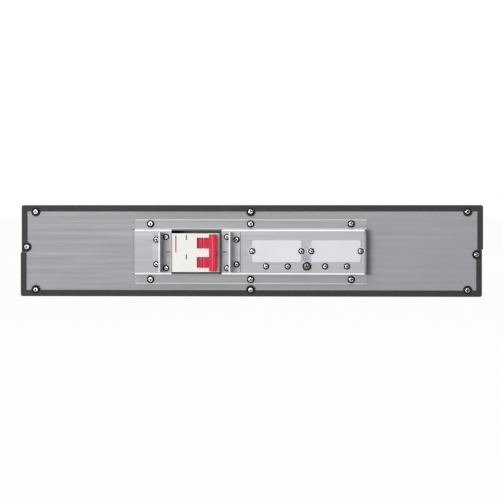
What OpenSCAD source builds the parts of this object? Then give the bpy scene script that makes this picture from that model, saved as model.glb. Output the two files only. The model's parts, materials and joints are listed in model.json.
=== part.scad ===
/* [Case] */
// Outside width of the case
case_w = 438; // [425:1:445]
// Outside height of the case, two rack units less the working gap
case_h = 86.5; // [85:0.5:92]
// Depth of the sheet-metal case, without the front bezel
case_d = 670; // [664:1:720]
// Thickness of the case sheet
case_t = 1; // [0.8:0.1:1.2]
// Radius of the bends along the case's outside corners
case_bend_r = 2; // [1.5:0.1:3]
// Width of the flanges turned in at the case's sides
lip_w = 5.4; // [5:0.1:6]
// Height of the flanges turned in along the rear's top and bottom
lip_h = 6; // [5:0.1:7]
// Distance of each seam between the two shells from mid-height
seam_step = 1.5; // [1:0.1:3]
// How far the inner wall runs on behind the outer one at the seam
seam_lap = 10.5; // [8:0.5:14]
// Gap between two sheets that meet edge to edge
seam_gap = 0.3; // [0.1:0.1:0.6]
// Radius of the round lobes on the lips around their screws
lobe_r = 4.5; // [4:0.1:5]
// Thickness of the rear panel
panel_t = 1.2; // [1:0.1:2]

/* [Screws] */
// Diameter of the M4 screws on the case, the connector plate and the front
screw_d = 4; // [3.8:0.1:4.2]
// Head diameter of the M4 screws
screw_head_d = 7.2; // [6.5:0.1:8]
// Head height of the M4 screws
screw_head_h = 2.4; // [1.8:0.1:3]
// Diameter of the M3 screws on the raised face
small_screw_d = 3; // [2.8:0.1:3.2]
// Head diameter of the M3 screws
small_head_d = 6.1; // [5.4:0.1:6.4]
// Head height of the M3 screws
small_head_h = 2; // [1.6:0.1:2.4]
// Radial play of a screw in its clearance hole
screw_play = 0.25; // [0.15:0.05:0.4]
// Radial play of a screw in its nut
thread_play = 0.05; // [0.02:0.01:0.1]
// How far a screw's tip runs on past its nut
screw_tip = 1; // [0.5:0.5:2]
// Width of a clinch nut beyond its screw, all round
nut_rim = 1.9; // [1.5:0.1:2.4]
// Thickness of a clinch nut
nut_h = 2; // [1.5:0.1:3]

/* [Connector plate] */
// Length of the raised connector plate across the rear
hat_l = 219.2; // [216:0.2:224]
// Height of the raised face above the rear panel
hat_h = 23; // [20:0.5:24]
// Height of the raised face from wall to wall
hat_face_h = 42.4; // [41.4:0.2:43]
// Width of the flanges outside their screws' centres
hat_edge = 4.3; // [3.8:0.1:4.8]
// Thickness of the connector plate's sheet
hat_t = 1.2; // [1:0.1:1.5]
// Inside radius of its bends
hat_bend_r = 1; // [0.8:0.1:1.4]
// Distance of the plate's centre below the case's mid-height
hat_drop = 0.8; // [0:0.05:1.2]
// Distance of the outer flange screws inside the plate's ends
hat_screw_inset = 14.6; // [11.6:0.5:19.6]
// How far the flange screws lie inside half-way from the face's edge to the panel's screws
hat_screw_shift = 2.8; // [2.3:0.05:3.3]
// Radius of the relief holes at the raised face's corners
relief_r = 1; // [0.8:0.1:1.4]

/* [Breaker] */
// Distance of the breaker's centre from the plate's left end
breaker_inset = 60; // [57.5:0.1:64.5]
// Distance of the breaker's centre below the case's mid-height
breaker_drop = 1.3; // [1:0.1:1.6]
// Width of one breaker pole
pole_w = 18; // [17.4:0.1:18.2]
// Length of the breaker's nose
nose_l = 44.5; // [43:0.5:46]
// Height of the nose above the raised face
nose_h = 15; // [12:0.5:17]
// Length of the breaker's body behind the raised face
breaker_l = 66; // [64:0.5:67]
// Depth of the breaker behind its shoulders
breaker_depth = 40; // [36:1:42]
// Gap around the nose at each end of its opening
nose_gap = 1.4; // [0.8:0.1:2]
// Place of the handle's pivot beside the breaker's centre
pivot_x = 7.3; // [6:0.1:8]
// Depth of the pivot behind the nose's face
pivot_depth = 3; // [2.5:0.1:3.5]
// Radius of the toggles' drums
drum_r = 5.5; // [5:0.1:6]
// Width of each toggle along the pivot
toggle_w = 9.6; // [9:0.1:11]
// Thickness of a toggle's lever
lever_t = 4; // [3:0.2:4.6]
// Distance from the pivot to the middle of the tie bar
lever_l = 14.6; // [14:0.2:17]
// Tilt of the handle at either end of its travel
lever_tilt = 42; // [36:1:45]
// Length of the bar that ties the two toggles
tie_l = 34.6; // [33:0.2:36]
// Width of the tie bar across the lever
tie_w = 6.4; // [5.6:0.1:7]
// Thickness of the tie bar along the lever
tie_t = 6.2; // [5:0.1:6.6]
// Diameter of the steel pin that the toggles turn on
pin_d = 3; // [2.5:0.1:3.5]
// Radial running clearance of the toggles on their pin
pin_play = 0.05; // [0.02:0.01:0.1]
// Clearance between moving and fixed pieces of the breaker
turn_gap = 0.3; // [0.2:0.05:0.5]
// Sideways distance of the breaker's screws from its centre
breaker_screw_x = 28.7; // [27:0.1:29]
// Distance of the breaker's screws above and below its centre
breaker_screw_z = 14.7; // [14:0.1:15]
// Length of the narrow slots beside the breaker
slot_l = 4; // [3:0.5:5]
// Height of the narrow slots beside the breaker
slot_h = 1.3; // [1:0.1:2]
// Sideways distance of the slots from the breaker's centre
slot_x = 26.4; // [26.2:0.1:27]

/* [Guards] */
// Height of the guards above the raised face
guard_h = 27; // [22:0.5:30]
// Length of the guards along the breaker's side
guard_l = 37.2; // [34:0.2:37.6]
// Thickness of the guards' sheet
guard_t = 1.2; // [1:0.1:1.5]
// Sideways distance of the guards' legs from the breaker's centre
guard_x = 32.7; // [32:0.1:33]
// Width of the guards' feet
guard_foot = 9.3; // [8.6:0.1:9.6]
// Distance of the guards' screws outside their legs
guard_screw_x = 5; // [4.4:0.1:5.2]
// Distance of the guards' screws above and below the breaker's centre
guard_screw_z = 11.6; // [10:0.1:13]

/* [Connectors] */
// Distance of the first cover's first screw from the breaker's centre
cover_space = 52.4; // [51:0.1:53.4]
// Distance of the last cover's last screw inside the plate's end
cover_inset = 5.2; // [5:0.1:7]
// Distance between the two covers' neighbouring screws
cover_apart = 9.2; // [8.4:0.1:10]
// Height of the blank covers
cover_h = 20.5; // [19:0.5:21]
// Thickness of the blank covers
cover_t = 1.5; // [1:0.1:2.5]
// Radius of the covers' corners
cover_r = 2; // [1:0.1:3]
// Radius of the covers' ears around their screws
ear_r = 4; // [3.4:0.1:4.2]
// How far a cover laps over the plate at each end of its connector's opening
cover_lap = 4.5; // [4:0.1:6]
// Height of the connector openings behind the covers
port_h = 16.4; // [15:0.2:17]
// Depth of the connector housings
connector_depth = 30; // [24:1:34]
// Distance of the lower screws inside the ends of their connector's opening
foot_screw_inset = 8.4; // [7.5:0.1:9.5]
// Distance of the lower screws below the case's mid-height
foot_screw_drop = 14.2; // [14:0.1:14.8]
// Distance of the earth screw past the middle of the gap between the covers
earth_shift = 0.4; // [0:0.1:1.3]
// Head diameter of the earth screw
earth_head_d = 8.4; // [8:0.1:9]
// Diameter of the earth screw's toothed washer
earth_washer_d = 10; // [9.4:0.1:10.4]

/* [Batteries] */
// Space between the rear panel's edge and the battery trays, for the breaker and its leads
rear_space = 42; // [40:0.5:50]
// Clearance between the battery trays and the case's inner sides
tray_play = 4.4; // [4:0.1:6]
// Width of one battery block, which stands upright here
block_w = 65; // [63:0.5:66]
// Battery blocks along each tray
block_rows = 4; // [4:1:4]
// Gap between neighbouring battery blocks
block_gap = 0.4; // [0.2:0.1:0.8]
// Height of the terminals above a block's lid
tab_h = 6.2; // [5.5:0.1:6.5]
// Width of a terminal
tab_w = 6.3; // [5:0.1:6.5]
// Thickness of a terminal
tab_t = 0.8; // [0.6:0.1:1]
// Distance of the terminals from a block's ends
tab_x = 24; // [18:1:30]
// Thickness of the trays' sheet
tray_t = 1; // [0.8:0.1:1.2]
// Height of the trays' side walls
tray_wall_h = 30; // [24:1:40]
// Space for the terminals at each side of a tray
tray_side = 8.6; // [8.4:0.1:9]
// Space between the battery trays and the front plate
front_space = 20; // [17:1:24]
// Width of the rail that runs between the two trays
rail_w = 9; // [7.6:0.2:10]
// Diameter of the main leads over their insulation
lead_d = 5.6; // [4.8:0.1:6]
// Diameter of the links between battery blocks
link_d = 3.6; // [3:0.1:4]

/* [Front] */
// Depth of the front bezel
bezel_d = 25; // [22:1:32]
// Wall of the front bezel
bezel_t = 2.5; // [2:0.1:3]
// How far the bezel stays inside the case's outline, all round
bezel_inset = 0.5; // [0.5:0.1:1]
// How far the bezel's face bows forward at its middle
bezel_bow = 4; // [2:0.5:6]
// Radius of the bezel's upright end corners
bezel_r = 6; // [4:0.5:8]
// Height of one grille slot
grille_slot_h = 3.2; // [2.6:0.1:3.6]
// Distance from one grille slot to the next
grille_pitch = 6.4; // [6:0.1:7.5]
// Length of one grille slot
grille_slot_l = 72; // [60:1:76]
// Length of the finger opening in each end of the bezel
pull_h = 46; // [40:1:50]
// Depth of the finger opening in each end of the bezel
pull_d = 11; // [10:0.5:12]
// Diameter of the pegs that hold the bezel
peg_d = 6; // [5:0.1:7]
// Radial clearance of the pegs in their sockets
peg_play = 0.1; // [0.1:0.05:0.2]
// How far the pegs run into their sockets
peg_reach = 9; // [7:0.5:12]
// Diameter of the threaded holes for the rack ears
ear_hole_d = 4; // [3.8:0.1:4.2]
// Distance between the ear holes along the case
ear_pitch_y = 24; // [20:1:30]
// Distance of the ear holes above and below mid-height
ear_z = 27; // [25:0.5:29]
// Distance of the ear holes' centre behind the case's front edge
ear_back = 40; // [34:1:60]

/* [Hidden] */
$fn = 48;
over = 1;                     // how far a cut runs on past a face
mid_z = case_h / 2;
rear_y = -(case_d + bezel_d) / 2;
front_y = rear_y + case_d;
half_w = case_w / 2;
inner_x = half_w - 2 * case_t;          // inside of the inner walls
panel_y = rear_y + case_t;              // outer face of the rear panel
panel_in_y = panel_y + panel_t;
hat_z = mid_z - hat_drop;
hat_y = panel_y - hat_h;                // outer face of the raised plate
hat_in_y = hat_y + hat_t;
bend_r = hat_bend_r + hat_t;            // outside radius of the plate's bends
hat_inside_h = hat_face_h - 2 * hat_t;
breaker_z = mid_z - breaker_drop;
nose_y = hat_y - nose_h;
breaker_x = breaker_inset - hat_l / 2;
pivot_y = nose_y + pivot_depth;
handle_x = breaker_x + pivot_x;
shoulder_y = hat_in_y;
breaker_back_y = shoulder_y + breaker_depth;
red = "crimson";
case_black = [0.16, 0.16, 0.17];
steel = [0.72, 0.72, 0.74];
plate_grey = [0.66, 0.66, 0.68];

// A box between two corners
module span(low, high) {
  translate(low) cube(high - low);
}

// A rod along Y from one place, running towards +Y
module rod_y(x, y, z, d, l) {
  translate([x, y, z]) rotate([-90, 0, 0]) cylinder(d = d, h = l);
}

// A rod along X from one place, running towards +X
module rod_x(x, y, z, d, l) {
  translate([x, y, z]) rotate([0, 90, 0]) cylinder(d = d, h = l);
}

// A domed screw that points along +Y, its head's seat at the given place
module pan_screw(x, y, z, d, head_d, head_h, l) {
  dome_r = (pow(head_d / 2, 2) + pow(head_h, 2)) / (2 * head_h) * 1.12;
  cross_w = d * 0.28;
  cross_l = head_d * 0.62;
  difference() {
    union() {
      rod_y(x, y, z, d, l);
      intersection() {
        rod_y(x, y - head_h, z, head_d, head_h);
        translate([x, y - head_h + dome_r, z]) sphere(r = dome_r);
      }
    }
    for (turn = [45, 135])
      translate([x, y - head_h, z]) rotate([0, turn, 0])
        cube([cross_l, head_h, cross_w], center = true);
  }
}

// A clinch nut whose flange lies on the sheet, its thread along Y
module clinch_nut(x, y, z, d) {
  difference() {
    rod_y(x, y, z, d + 2 * nut_rim, nut_h);
    rod_y(x, y - over, z, d + 2 * thread_play, nut_h + 2 * over);
  }
}

// ---- case ----
rim_screw_x = half_w - 14.5;            // corner screws of the rear panel
rim_screw_z = mid_z - 6.25;             // their height above and below mid-height
hat_screw_x = hat_l / 2 - hat_screw_inset;
hat_screw_z = (rim_screw_z + hat_face_h / 2) / 2 - hat_screw_shift;
hat_flange_h = 2 * (hat_screw_z + hat_edge);
side_screw_x = half_w - 5.9;
side_screw_step = 3.5;
rim_screws = [for (x = [-rim_screw_x, 0, rim_screw_x]) for (s = [-1, 1]) [x, s * rim_screw_z]];
side_screws = [[side_screw_x, -side_screw_step], [-side_screw_x, side_screw_step]];
seam_screw_z = seam_step + seam_lap / 2;
seam_margin = 70;                       // from the case's ends to the first seam screws
seam_screw_ys = [for (k = [0 : 2]) rear_y + seam_margin + k * (case_d - 2 * seam_margin) / 2];
seam_hole_d = small_screw_d + 2 * screw_play;
seam_nut_h = 1.6;
collar_h = 1;                           // threaded collars drawn out of the case's sheet
collar_t = 0.7;
front_screw_x = half_w - 3.4;
front_screw_z = mid_z - 13;
ear_ys = [for (s = [-1, 1]) front_y - ear_back + s * ear_pitch_y / 2];

// A rectangle with its two lower corners rounded
module bath(x0, x1, z0, z1, r) {
  translate([x0 + r, z0]) square([x1 - x0 - 2 * r, z1 - z0]);
  translate([x0, z0 + r]) square([x1 - x0, z1 - z0 - r]);
  translate([x0 + r, z0 + r]) circle(r = r);
  translate([x1 - r, z0 + r]) circle(r = r);
}

// The lower shell's section, seen from the rear: outer wall left, inner wall right
module shell_section(right_top) {
  left_top = mid_z - seam_step - seam_gap / 2;
  difference() {
    bath(-half_w, half_w - case_t, 0, right_top, case_bend_r);
    bath(-half_w + case_t, inner_x, case_t, right_top + over, case_bend_r - case_t);
    translate([-half_w - over, left_top]) square([over + 2 * case_t, right_top]);
  }
}

// The lips turned in at one end, with round lobes around the screws at the rear
module shell_lip(rear) {
  left_top = mid_z - seam_step - seam_gap / 2;
  right_top = mid_z + seam_step - seam_gap / 2;
  difference() {
    bath(-half_w, half_w - case_t, 0, right_top, case_bend_r);
    translate([-half_w + lip_w, rear ? lip_h : -over])
      square([case_w - case_t - 2 * lip_w, case_h]);
    translate([-half_w - over, left_top]) square([half_w, case_h]);
  }
  if (rear) {
    for (x = [-rim_screw_x, 0, rim_screw_x]) translate([x, mid_z - rim_screw_z]) circle(r = lobe_r);
    intersection() {
      translate([side_screw_x, mid_z - side_screw_step]) circle(r = lobe_r);
      translate([0, 0]) square([half_w - case_t, right_top]);
    }
  }
}

module shell() {
  right_top = mid_z + seam_step - seam_gap / 2;
  lap_top = right_top + seam_lap;
  difference() {
    union() {
      translate([0, front_y, 0]) rotate([90, 0, 0]) linear_extrude(case_d)
        shell_section(right_top);
      span([inner_x, rear_y + case_t + seam_gap, mid_z],
        [inner_x + case_t, front_y - case_t - seam_gap, lap_top]);
      translate([0, rear_y + case_t, 0]) rotate([90, 0, 0]) linear_extrude(case_t)
        shell_lip(true);
      translate([0, front_y, 0]) rotate([90, 0, 0]) linear_extrude(case_t)
        shell_lip(false);
      for (side = [-1, 1])
        rod_y(side * front_screw_x, front_y - case_t - collar_h, mid_z - front_screw_z,
          small_screw_d + 2 * collar_t, collar_h);
      // threaded collars for the rack ears
      for (side = [-1, 1], y = ear_ys)
        rod_x(side > 0 ? inner_x - collar_h : -half_w + case_t, y, mid_z - ear_z,
          ear_hole_d + 2 * collar_t, collar_h);
    }
    // clearance holes for the rear panel's screws
    for (p = concat(rim_screws, side_screws))
      if (p[1] < 0)
        rod_y(p[0], rear_y - over, mid_z + p[1], screw_d + 2 * screw_play, case_t + 2 * over);
    for (side = [-1, 1])
      rod_y(side * front_screw_x, front_y - case_t - collar_h - over, mid_z - front_screw_z,
        small_screw_d + 2 * thread_play, case_t + collar_h + 2 * over);
    // seam screws: through the inner wall on the right and the outer wall on the left
    for (y = seam_screw_ys) {
      rod_x(inner_x - over, y, mid_z + seam_screw_z, seam_hole_d, case_t + 2 * over);
      rod_x(-half_w - over, y, mid_z - seam_screw_z, seam_hole_d, case_t + 2 * over);
      translate([-half_w, y, mid_z - seam_screw_z]) rotate([0, 90, 0])
        cylinder(d1 = small_head_d, d2 = seam_hole_d, h = case_t);
    }
    for (side = [-1, 1], y = ear_ys)
      rod_x(side > 0 ? inner_x - collar_h - over : -half_w - over, y, mid_z - ear_z,
        ear_hole_d, case_t + collar_h + 2 * over);
  }
}

module lower_shell() {
  color(case_black) shell();
}

module upper_shell() {
  color(case_black) translate([0, 0, case_h]) rotate([0, 180, 0]) shell();
}

module rear_panel() {
  gap = 0.3;
  color(plate_grey) difference() {
    span([-inner_x + gap, panel_y, case_t + gap],
      [inner_x - gap, panel_in_y, case_h - case_t - gap]);
    span([-hat_l / 2 + hat_rim, panel_y - over, hat_z - hat_inside_h / 2],
      [hat_l / 2 - hat_rim, panel_in_y + over, hat_z + hat_inside_h / 2]);
    for (p = concat(rim_screws, side_screws))
      rod_y(p[0], panel_y - over, mid_z + p[1], screw_d + 2 * screw_play, panel_t + 2 * over);
    for (p = hat_screws)
      rod_y(p[0], panel_y - over, hat_z + p[1], screw_d + 2 * screw_play, panel_t + 2 * over);
  }
}

module perimeter_screws() {
  color(steel) for (p = concat(rim_screws, side_screws))
    pan_screw(p[0], rear_y, mid_z + p[1], screw_d, screw_head_d, screw_head_h,
      case_t + panel_t + nut_h + screw_tip);
}

module panel_nuts() {
  color(steel) for (p = concat(rim_screws, side_screws))
    clinch_nut(p[0], panel_in_y, mid_z + p[1], screw_d);
}

// Flush screws along both seams, heads outward
module seam_screws() {
  head_h = case_t;
  color(steel) for (side = [-1, 1], y = seam_screw_ys)
    translate([side * half_w, y, mid_z + side * seam_screw_z]) rotate([0, -side * 90, 0]) {
      cylinder(d1 = small_head_d, d2 = seam_hole_d, h = head_h);
      cylinder(d = small_screw_d, h = 2 * case_t + seam_nut_h + screw_tip);
    }
}

module seam_nuts() {
  color(steel) for (side = [-1, 1], y = seam_screw_ys)
    translate([side * inner_x, y, mid_z + side * seam_screw_z]) rotate([0, -side * 90, 0])
      difference() {
        cylinder(d = small_screw_d + 2 * nut_rim, h = seam_nut_h);
        translate([0, 0, -over])
          cylinder(d = small_screw_d + 2 * thread_play, h = seam_nut_h + 2 * over);
      }
}

// ---- raised connector plate ----
hat_rim = 8;                            // panel left standing inside the plate's ends
hat_screws = [for (x = [-hat_screw_x, 0, hat_screw_x]) for (s = [-1, 1]) [x, s * hat_screw_z]];
guard_screws_at = [for (side = [-1, 1]) for (s = [-1, 1])
  [breaker_x + side * (guard_x + guard_screw_x), hat_z + s * guard_screw_z]];
breaker_screws_at = [for (side = [-1, 1]) for (s = [-1, 1])
  [breaker_x + side * breaker_screw_x, breaker_z + s * breaker_screw_z]];
cover_x0 = breaker_x + cover_space;      // the first and last screws of the two covers
cover_x1 = hat_l / 2 - cover_inset;
cover_l = (cover_x1 - cover_x0 - cover_apart) / 2;
port_l = cover_l - 2 * cover_lap;
foot_screw_pitch = port_l - 2 * foot_screw_inset;
connector_xs = [cover_x0 + cover_l / 2, cover_x1 - cover_l / 2];
earth_x = cover_x0 + cover_l + cover_apart / 2 + earth_shift;
cover_screws_at = [for (x = connector_xs) for (side = [-1, 1])
  [x + side * cover_l / 2, mid_z]];
foot_screws_at = [for (x = connector_xs) for (side = [-1, 1])
  [x + side * foot_screw_pitch / 2, mid_z - foot_screw_drop]];
earth_at = [earth_x, mid_z - foot_screw_drop];

// A quarter turn of sheet round a bend's centre
module bend(t, r) {
  intersection() {
    difference() {
      circle(r = r + t);
      circle(r = r);
    }
    square(r + t);
  }
}

// Half of the plate's section: height above the panel along x, away from its centre along y
module hat_half() {
  wall = hat_face_h / 2;
  translate([0, wall + hat_bend_r]) square([hat_t, hat_flange_h / 2 - wall - hat_bend_r]);
  translate([bend_r, wall + hat_bend_r]) rotate(180) bend(hat_t, hat_bend_r);
  translate([bend_r, wall - hat_t]) square([hat_h - 2 * bend_r, hat_t]);
  translate([hat_h - bend_r, wall - bend_r]) bend(hat_t, hat_bend_r);
  translate([hat_h - hat_t, 0]) square([hat_t, wall - bend_r]);
}

module hat_section() {
  hat_half();
  mirror([0, 1]) hat_half();
}

relief_gap = 0.4;                       // between an end flap and the walls beside it
relief_in = 0.3 * bend_r;               // of the relief holes' centres, inside the corners
flap_lift = 0.2;                        // between an end flap and the panel

// The flap that closes one end: length along the plate by height above the panel
module end_flap_section() {
  translate([0, flap_lift]) square([hat_t, hat_h - bend_r - flap_lift]);
  translate([bend_r, hat_h - bend_r]) rotate(90) bend(hat_t, hat_bend_r);
}

module connector_plate() {
  flap_h = hat_face_h - 2 * bend_r - 2 * relief_gap;
  nose_half = nose_l / 2 + nose_gap;
  color(plate_grey) difference() {
    union() {
      difference() {
        translate([0, panel_y, hat_z]) rotate([90, 0, -90])
          linear_extrude(hat_l, center = true) hat_section();
        for (side = [-1, 1])
          translate([side * (hat_l / 2 - bend_r / 2 + over / 2), hat_y, hat_z])
            cube([bend_r + over, 2 * bend_r, hat_face_h - 2 * bend_r], center = true);
      }
      for (side = [0, 1]) mirror([side, 0, 0])
        translate([-hat_l / 2, panel_y, hat_z - flap_h / 2])
          mirror([0, 1, 0]) linear_extrude(flap_h) end_flap_section();
    }
    for (side = [-1, 1], s = [-1, 1])
      rod_y(side * (hat_l / 2 - relief_in), hat_y - over, hat_z + s * (hat_face_h / 2 - relief_in),
        2 * relief_r, bend_r + over);
    // the breaker's opening, through the face and its bends
    span([breaker_x - nose_half, hat_y - over, hat_z - hat_face_h],
      [breaker_x + nose_half, hat_y + bend_r, hat_z + hat_face_h]);
    for (side = [-1, 1])
      translate([breaker_x + side * slot_x, hat_y, hat_z])
        cube([slot_l, 4 * hat_t, slot_h], center = true);
    for (p = hat_screws)
      rod_y(p[0], panel_y - hat_t - over, hat_z + p[1], screw_d + 2 * screw_play,
        hat_t + 2 * over);
    for (p = concat(guard_screws_at, breaker_screws_at, cover_screws_at, foot_screws_at))
      rod_y(p[0], hat_y - over, p[1], small_screw_d + 2 * screw_play, hat_t + 2 * over);
    rod_y(earth_at[0], hat_y - over, earth_at[1], screw_d + 2 * screw_play, hat_t + 2 * over);
    for (x = connector_xs)
      span([x - port_l / 2, hat_y - over, mid_z - port_h / 2],
        [x + port_l / 2, hat_in_y + over, mid_z + port_h / 2]);
  }
}
module connector_plate_screws() {
  color(steel) for (p = hat_screws)
    pan_screw(p[0], panel_y - hat_t, hat_z + p[1], screw_d, screw_head_d, screw_head_h,
      hat_t + panel_t + nut_h + screw_tip);
}

module connector_plate_nuts() {
  color(steel) for (p = hat_screws) clinch_nut(p[0], panel_in_y, hat_z + p[1], screw_d);
}

// ---- circuit breaker ----
stud_d = 5;                             // terminal studs on the breaker's back
stud_l = 11;
stud_root = 6;
stud_x = 20;
insert_l = 8;                           // threaded inserts for the breaker's screws
nose_r = 1.3;
rivet_d = 4;
rivet_at = [[-27, 28], [27, 28], [-10, 18], [10, 32]];
// length of the slot that a toggle swings in: as much as the drum and the tilted lever take
toggle_slot = 2 * max(drum_r, pivot_depth * tan(lever_tilt) + lever_t / 2 / cos(lever_tilt))
  + 2 * turn_gap / cos(lever_tilt);
toggle_zs = [breaker_z + pole_w / 2, breaker_z - pole_w / 2];

// One pole's side view: x along its length from its middle, y from the shoulders backward
module pole_outline() {
  nose_out = shoulder_y - nose_y;
  step = 4;
  difference() {
    union() {
      translate([-breaker_l / 2, 0]) square([breaker_l, breaker_depth]);
      translate([-nose_l / 2, -nose_out + nose_r]) square([nose_l, nose_out]);
      translate([-nose_l / 2 + nose_r, -nose_out]) square([nose_l - 2 * nose_r, nose_out]);
      for (s = [-1, 1]) translate([s * (nose_l / 2 - nose_r), -nose_out + nose_r])
        circle(r = nose_r);
    }
    // the back steps in at the terminals
    for (s = [-1, 1]) translate([s * breaker_l / 2, breaker_depth])
      square([2 * step, 2 * step], center = true);
  }
}

module breaker_pole(z) {
  difference() {
    translate([breaker_x, shoulder_y, z - pole_w / 2]) linear_extrude(pole_w) pole_outline();
    // the drum's well and the slot that the lever swings in
    translate([handle_x, pivot_y, z - toggle_w / 2 - turn_gap])
      cylinder(r = drum_r + turn_gap, h = toggle_w + 2 * turn_gap);
    span([handle_x - toggle_slot / 2, nose_y - over, z - toggle_w / 2 - turn_gap],
      [handle_x + toggle_slot / 2, pivot_y, z + toggle_w / 2 + turn_gap]);
    translate([handle_x, pivot_y, z - pole_w]) cylinder(d = pin_d, h = 2 * pole_w);
    for (s = [-1, 1])
      rod_y(breaker_x + s * stud_x, breaker_back_y - stud_root, z, stud_d, stud_root + over);
    for (p = breaker_screws_at)
      rod_y(p[0], shoulder_y - over, p[1], small_screw_d + 2 * thread_play, insert_l + over);
    for (p = rivet_at) translate([breaker_x + p[0], shoulder_y + p[1], z - pole_w])
      cylinder(d = rivet_d, h = 2 * pole_w);
  }
}

module breaker_pole_upper() {
  color("white") breaker_pole(toggle_zs[0]);
}

module breaker_pole_lower() {
  color("white") breaker_pole(toggle_zs[1]);
}

module breaker_rivets() {
  color(steel) for (p = rivet_at)
    translate([breaker_x + p[0], shoulder_y + p[1], breaker_z - pole_w])
      cylinder(d = rivet_d - 2 * thread_play, h = 2 * pole_w);
}

// Studs on the breaker's back, each with the hexagonal nut that clamps its lug
module breaker_terminals() {
  nut_t = 3.5;
  color("silver") for (z = toggle_zs, s = [-1, 1]) {
    rod_y(breaker_x + s * stud_x, breaker_back_y - stud_root, z, stud_d, stud_root + stud_l);
    translate([breaker_x + s * stud_x, breaker_back_y + lug_t, z]) rotate([-90, 0, 0])
      cylinder(d = 9.2, h = nut_t, $fn = 6);
  }
}
module breaker_screws() {
  color(steel) for (p = breaker_screws_at)
    pan_screw(p[0], hat_y, p[1], small_screw_d, small_head_d, small_head_h,
      hat_t + insert_l - 1);
}

// A toggle in its own frame: drum on the origin, lever along +y, axis along z
module toggle_shape() {
  lever_end = lever_l - tie_t / 2;
  difference() {
    union() {
      cylinder(r = drum_r, h = toggle_w, center = true);
      linear_extrude(toggle_w, center = true)
        polygon([[-lever_t / 2, 0], [lever_t / 2, 0],
          [lever_t * 0.4, lever_end], [-lever_t * 0.4, lever_end]]);
    }
    cylinder(d = pin_d + 2 * pin_play, h = toggle_w + 2 * over, center = true);
  }
}

// Puts the handle's own frame on the pivot, tilted to the OFF side
module at_handle(z) {
  translate([handle_x, pivot_y, z]) rotate([0, 0, 180 + lever_tilt]) children();
}

module toggle_upper() {
  color(red) at_handle(toggle_zs[0]) toggle_shape();
}

module toggle_lower() {
  color(red) at_handle(toggle_zs[1]) toggle_shape();
}

// The bar over both levers' ends, its outer face swelling towards the middle
module handle_tie_bar() {
  corner_r = 1.5;
  swell = 1;
  swell_l = tie_l * 0.9;
  swell_r = (pow(swell_l / 2, 2) + swell * swell) / (2 * swell);
  color(red) at_handle(breaker_z) translate([0, lever_l, 0]) {
    translate([0, 0, -tie_l / 2]) linear_extrude(tie_l) {
      square([tie_w - 2 * corner_r, tie_t], center = true);
      square([tie_w, tie_t - 2 * corner_r], center = true);
      for (a = [-1, 1], b = [-1, 1])
        translate([a * (tie_w / 2 - corner_r), b * (tie_t / 2 - corner_r)])
          circle(r = corner_r);
    }
    intersection() {
      translate([0, tie_t / 2 + swell - swell_r, 0]) rotate([0, 90, 0])
        cylinder(r = swell_r, h = tie_w - 2 * corner_r, center = true, $fn = 360);
      translate([0, tie_t / 2, 0]) cube([tie_w, 2 * tie_t / 3, swell_l], center = true);
    }
  }
}

module toggle_pin() {
  color("silver") translate([handle_x, pivot_y, breaker_z - pole_w])
    cylinder(d = pin_d, h = 2 * pole_w);
}

// ---- guards ----
// An angle of sheet, foot along x and leg along y
module angle_section(foot, leg, t, r) {
  translate([t + r, 0]) square([foot - t - r, t]);
  translate([0, t + r]) square([t, leg - t - r]);
  translate([t + r, t + r]) rotate(180) bend(t, r);
}

module guard(side) {
  bend_in = 0.8;
  difference() {
    translate([breaker_x + side * (guard_x - guard_t / 2), hat_y, hat_z - guard_l / 2])
      mirror([side > 0 ? 0 : 1, 0, 0]) mirror([0, 1, 0]) linear_extrude(guard_l)
        angle_section(guard_foot, guard_h, guard_t, bend_in);
    for (p = guard_screws_at)
      rod_y(p[0], hat_y - guard_t - over, p[1], small_screw_d + 2 * screw_play,
        guard_t + 2 * over);
  }
}

module guard_left() {
  color(steel) guard(-1);
}

module guard_right() {
  color(steel) guard(1);
}

module guard_screws() {
  color(steel) for (p = guard_screws_at)
    pan_screw(p[0], hat_y - guard_t, p[1], small_screw_d, small_head_d, small_head_h,
      guard_t + hat_t + nut_h + screw_tip);
}

module guard_nuts() {
  color(steel) for (p = guard_screws_at) clinch_nut(p[0], hat_in_y, p[1], small_screw_d);
}

// ---- covers and connectors ----
module cover(x) {
  color("white") difference() {
    translate([x, hat_y, mid_z]) rotate([90, 0, 0]) linear_extrude(cover_t) {
      square([cover_l - 2 * cover_r, cover_h], center = true);
      square([cover_l, cover_h - 2 * cover_r], center = true);
      for (a = [-1, 1], b = [-1, 1])
        translate([a * (cover_l / 2 - cover_r), b * (cover_h / 2 - cover_r)])
          circle(r = cover_r);
      for (a = [-1, 1]) translate([a * cover_l / 2, 0]) circle(r = ear_r);
    }
    for (p = cover_screws_at)
      rod_y(p[0], hat_y - cover_t - over, p[1], small_screw_d + 2 * screw_play,
        cover_t + 2 * over);
  }
}

module cover_left() {
  cover(connector_xs[0]);
}

module cover_right() {
  cover(connector_xs[1]);
}

module cover_screws() {
  color(steel) for (p = cover_screws_at)
    pan_screw(p[0], hat_y - cover_t, p[1], small_screw_d, small_head_d, small_head_h,
      cover_t + hat_t + nut_h + screw_tip);
}

module cover_nuts() {
  color(steel) for (p = cover_screws_at) clinch_nut(p[0], hat_in_y, p[1], small_screw_d);
}

port_play = 0.3;                        // around a connector in its opening
contact_w = (port_l - 1) / 4;
contact_t = 2.4;
contact_x = (port_l - 2.6) / 4;         // each contact's distance from its connector's middle
foot_t = 5;

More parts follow.
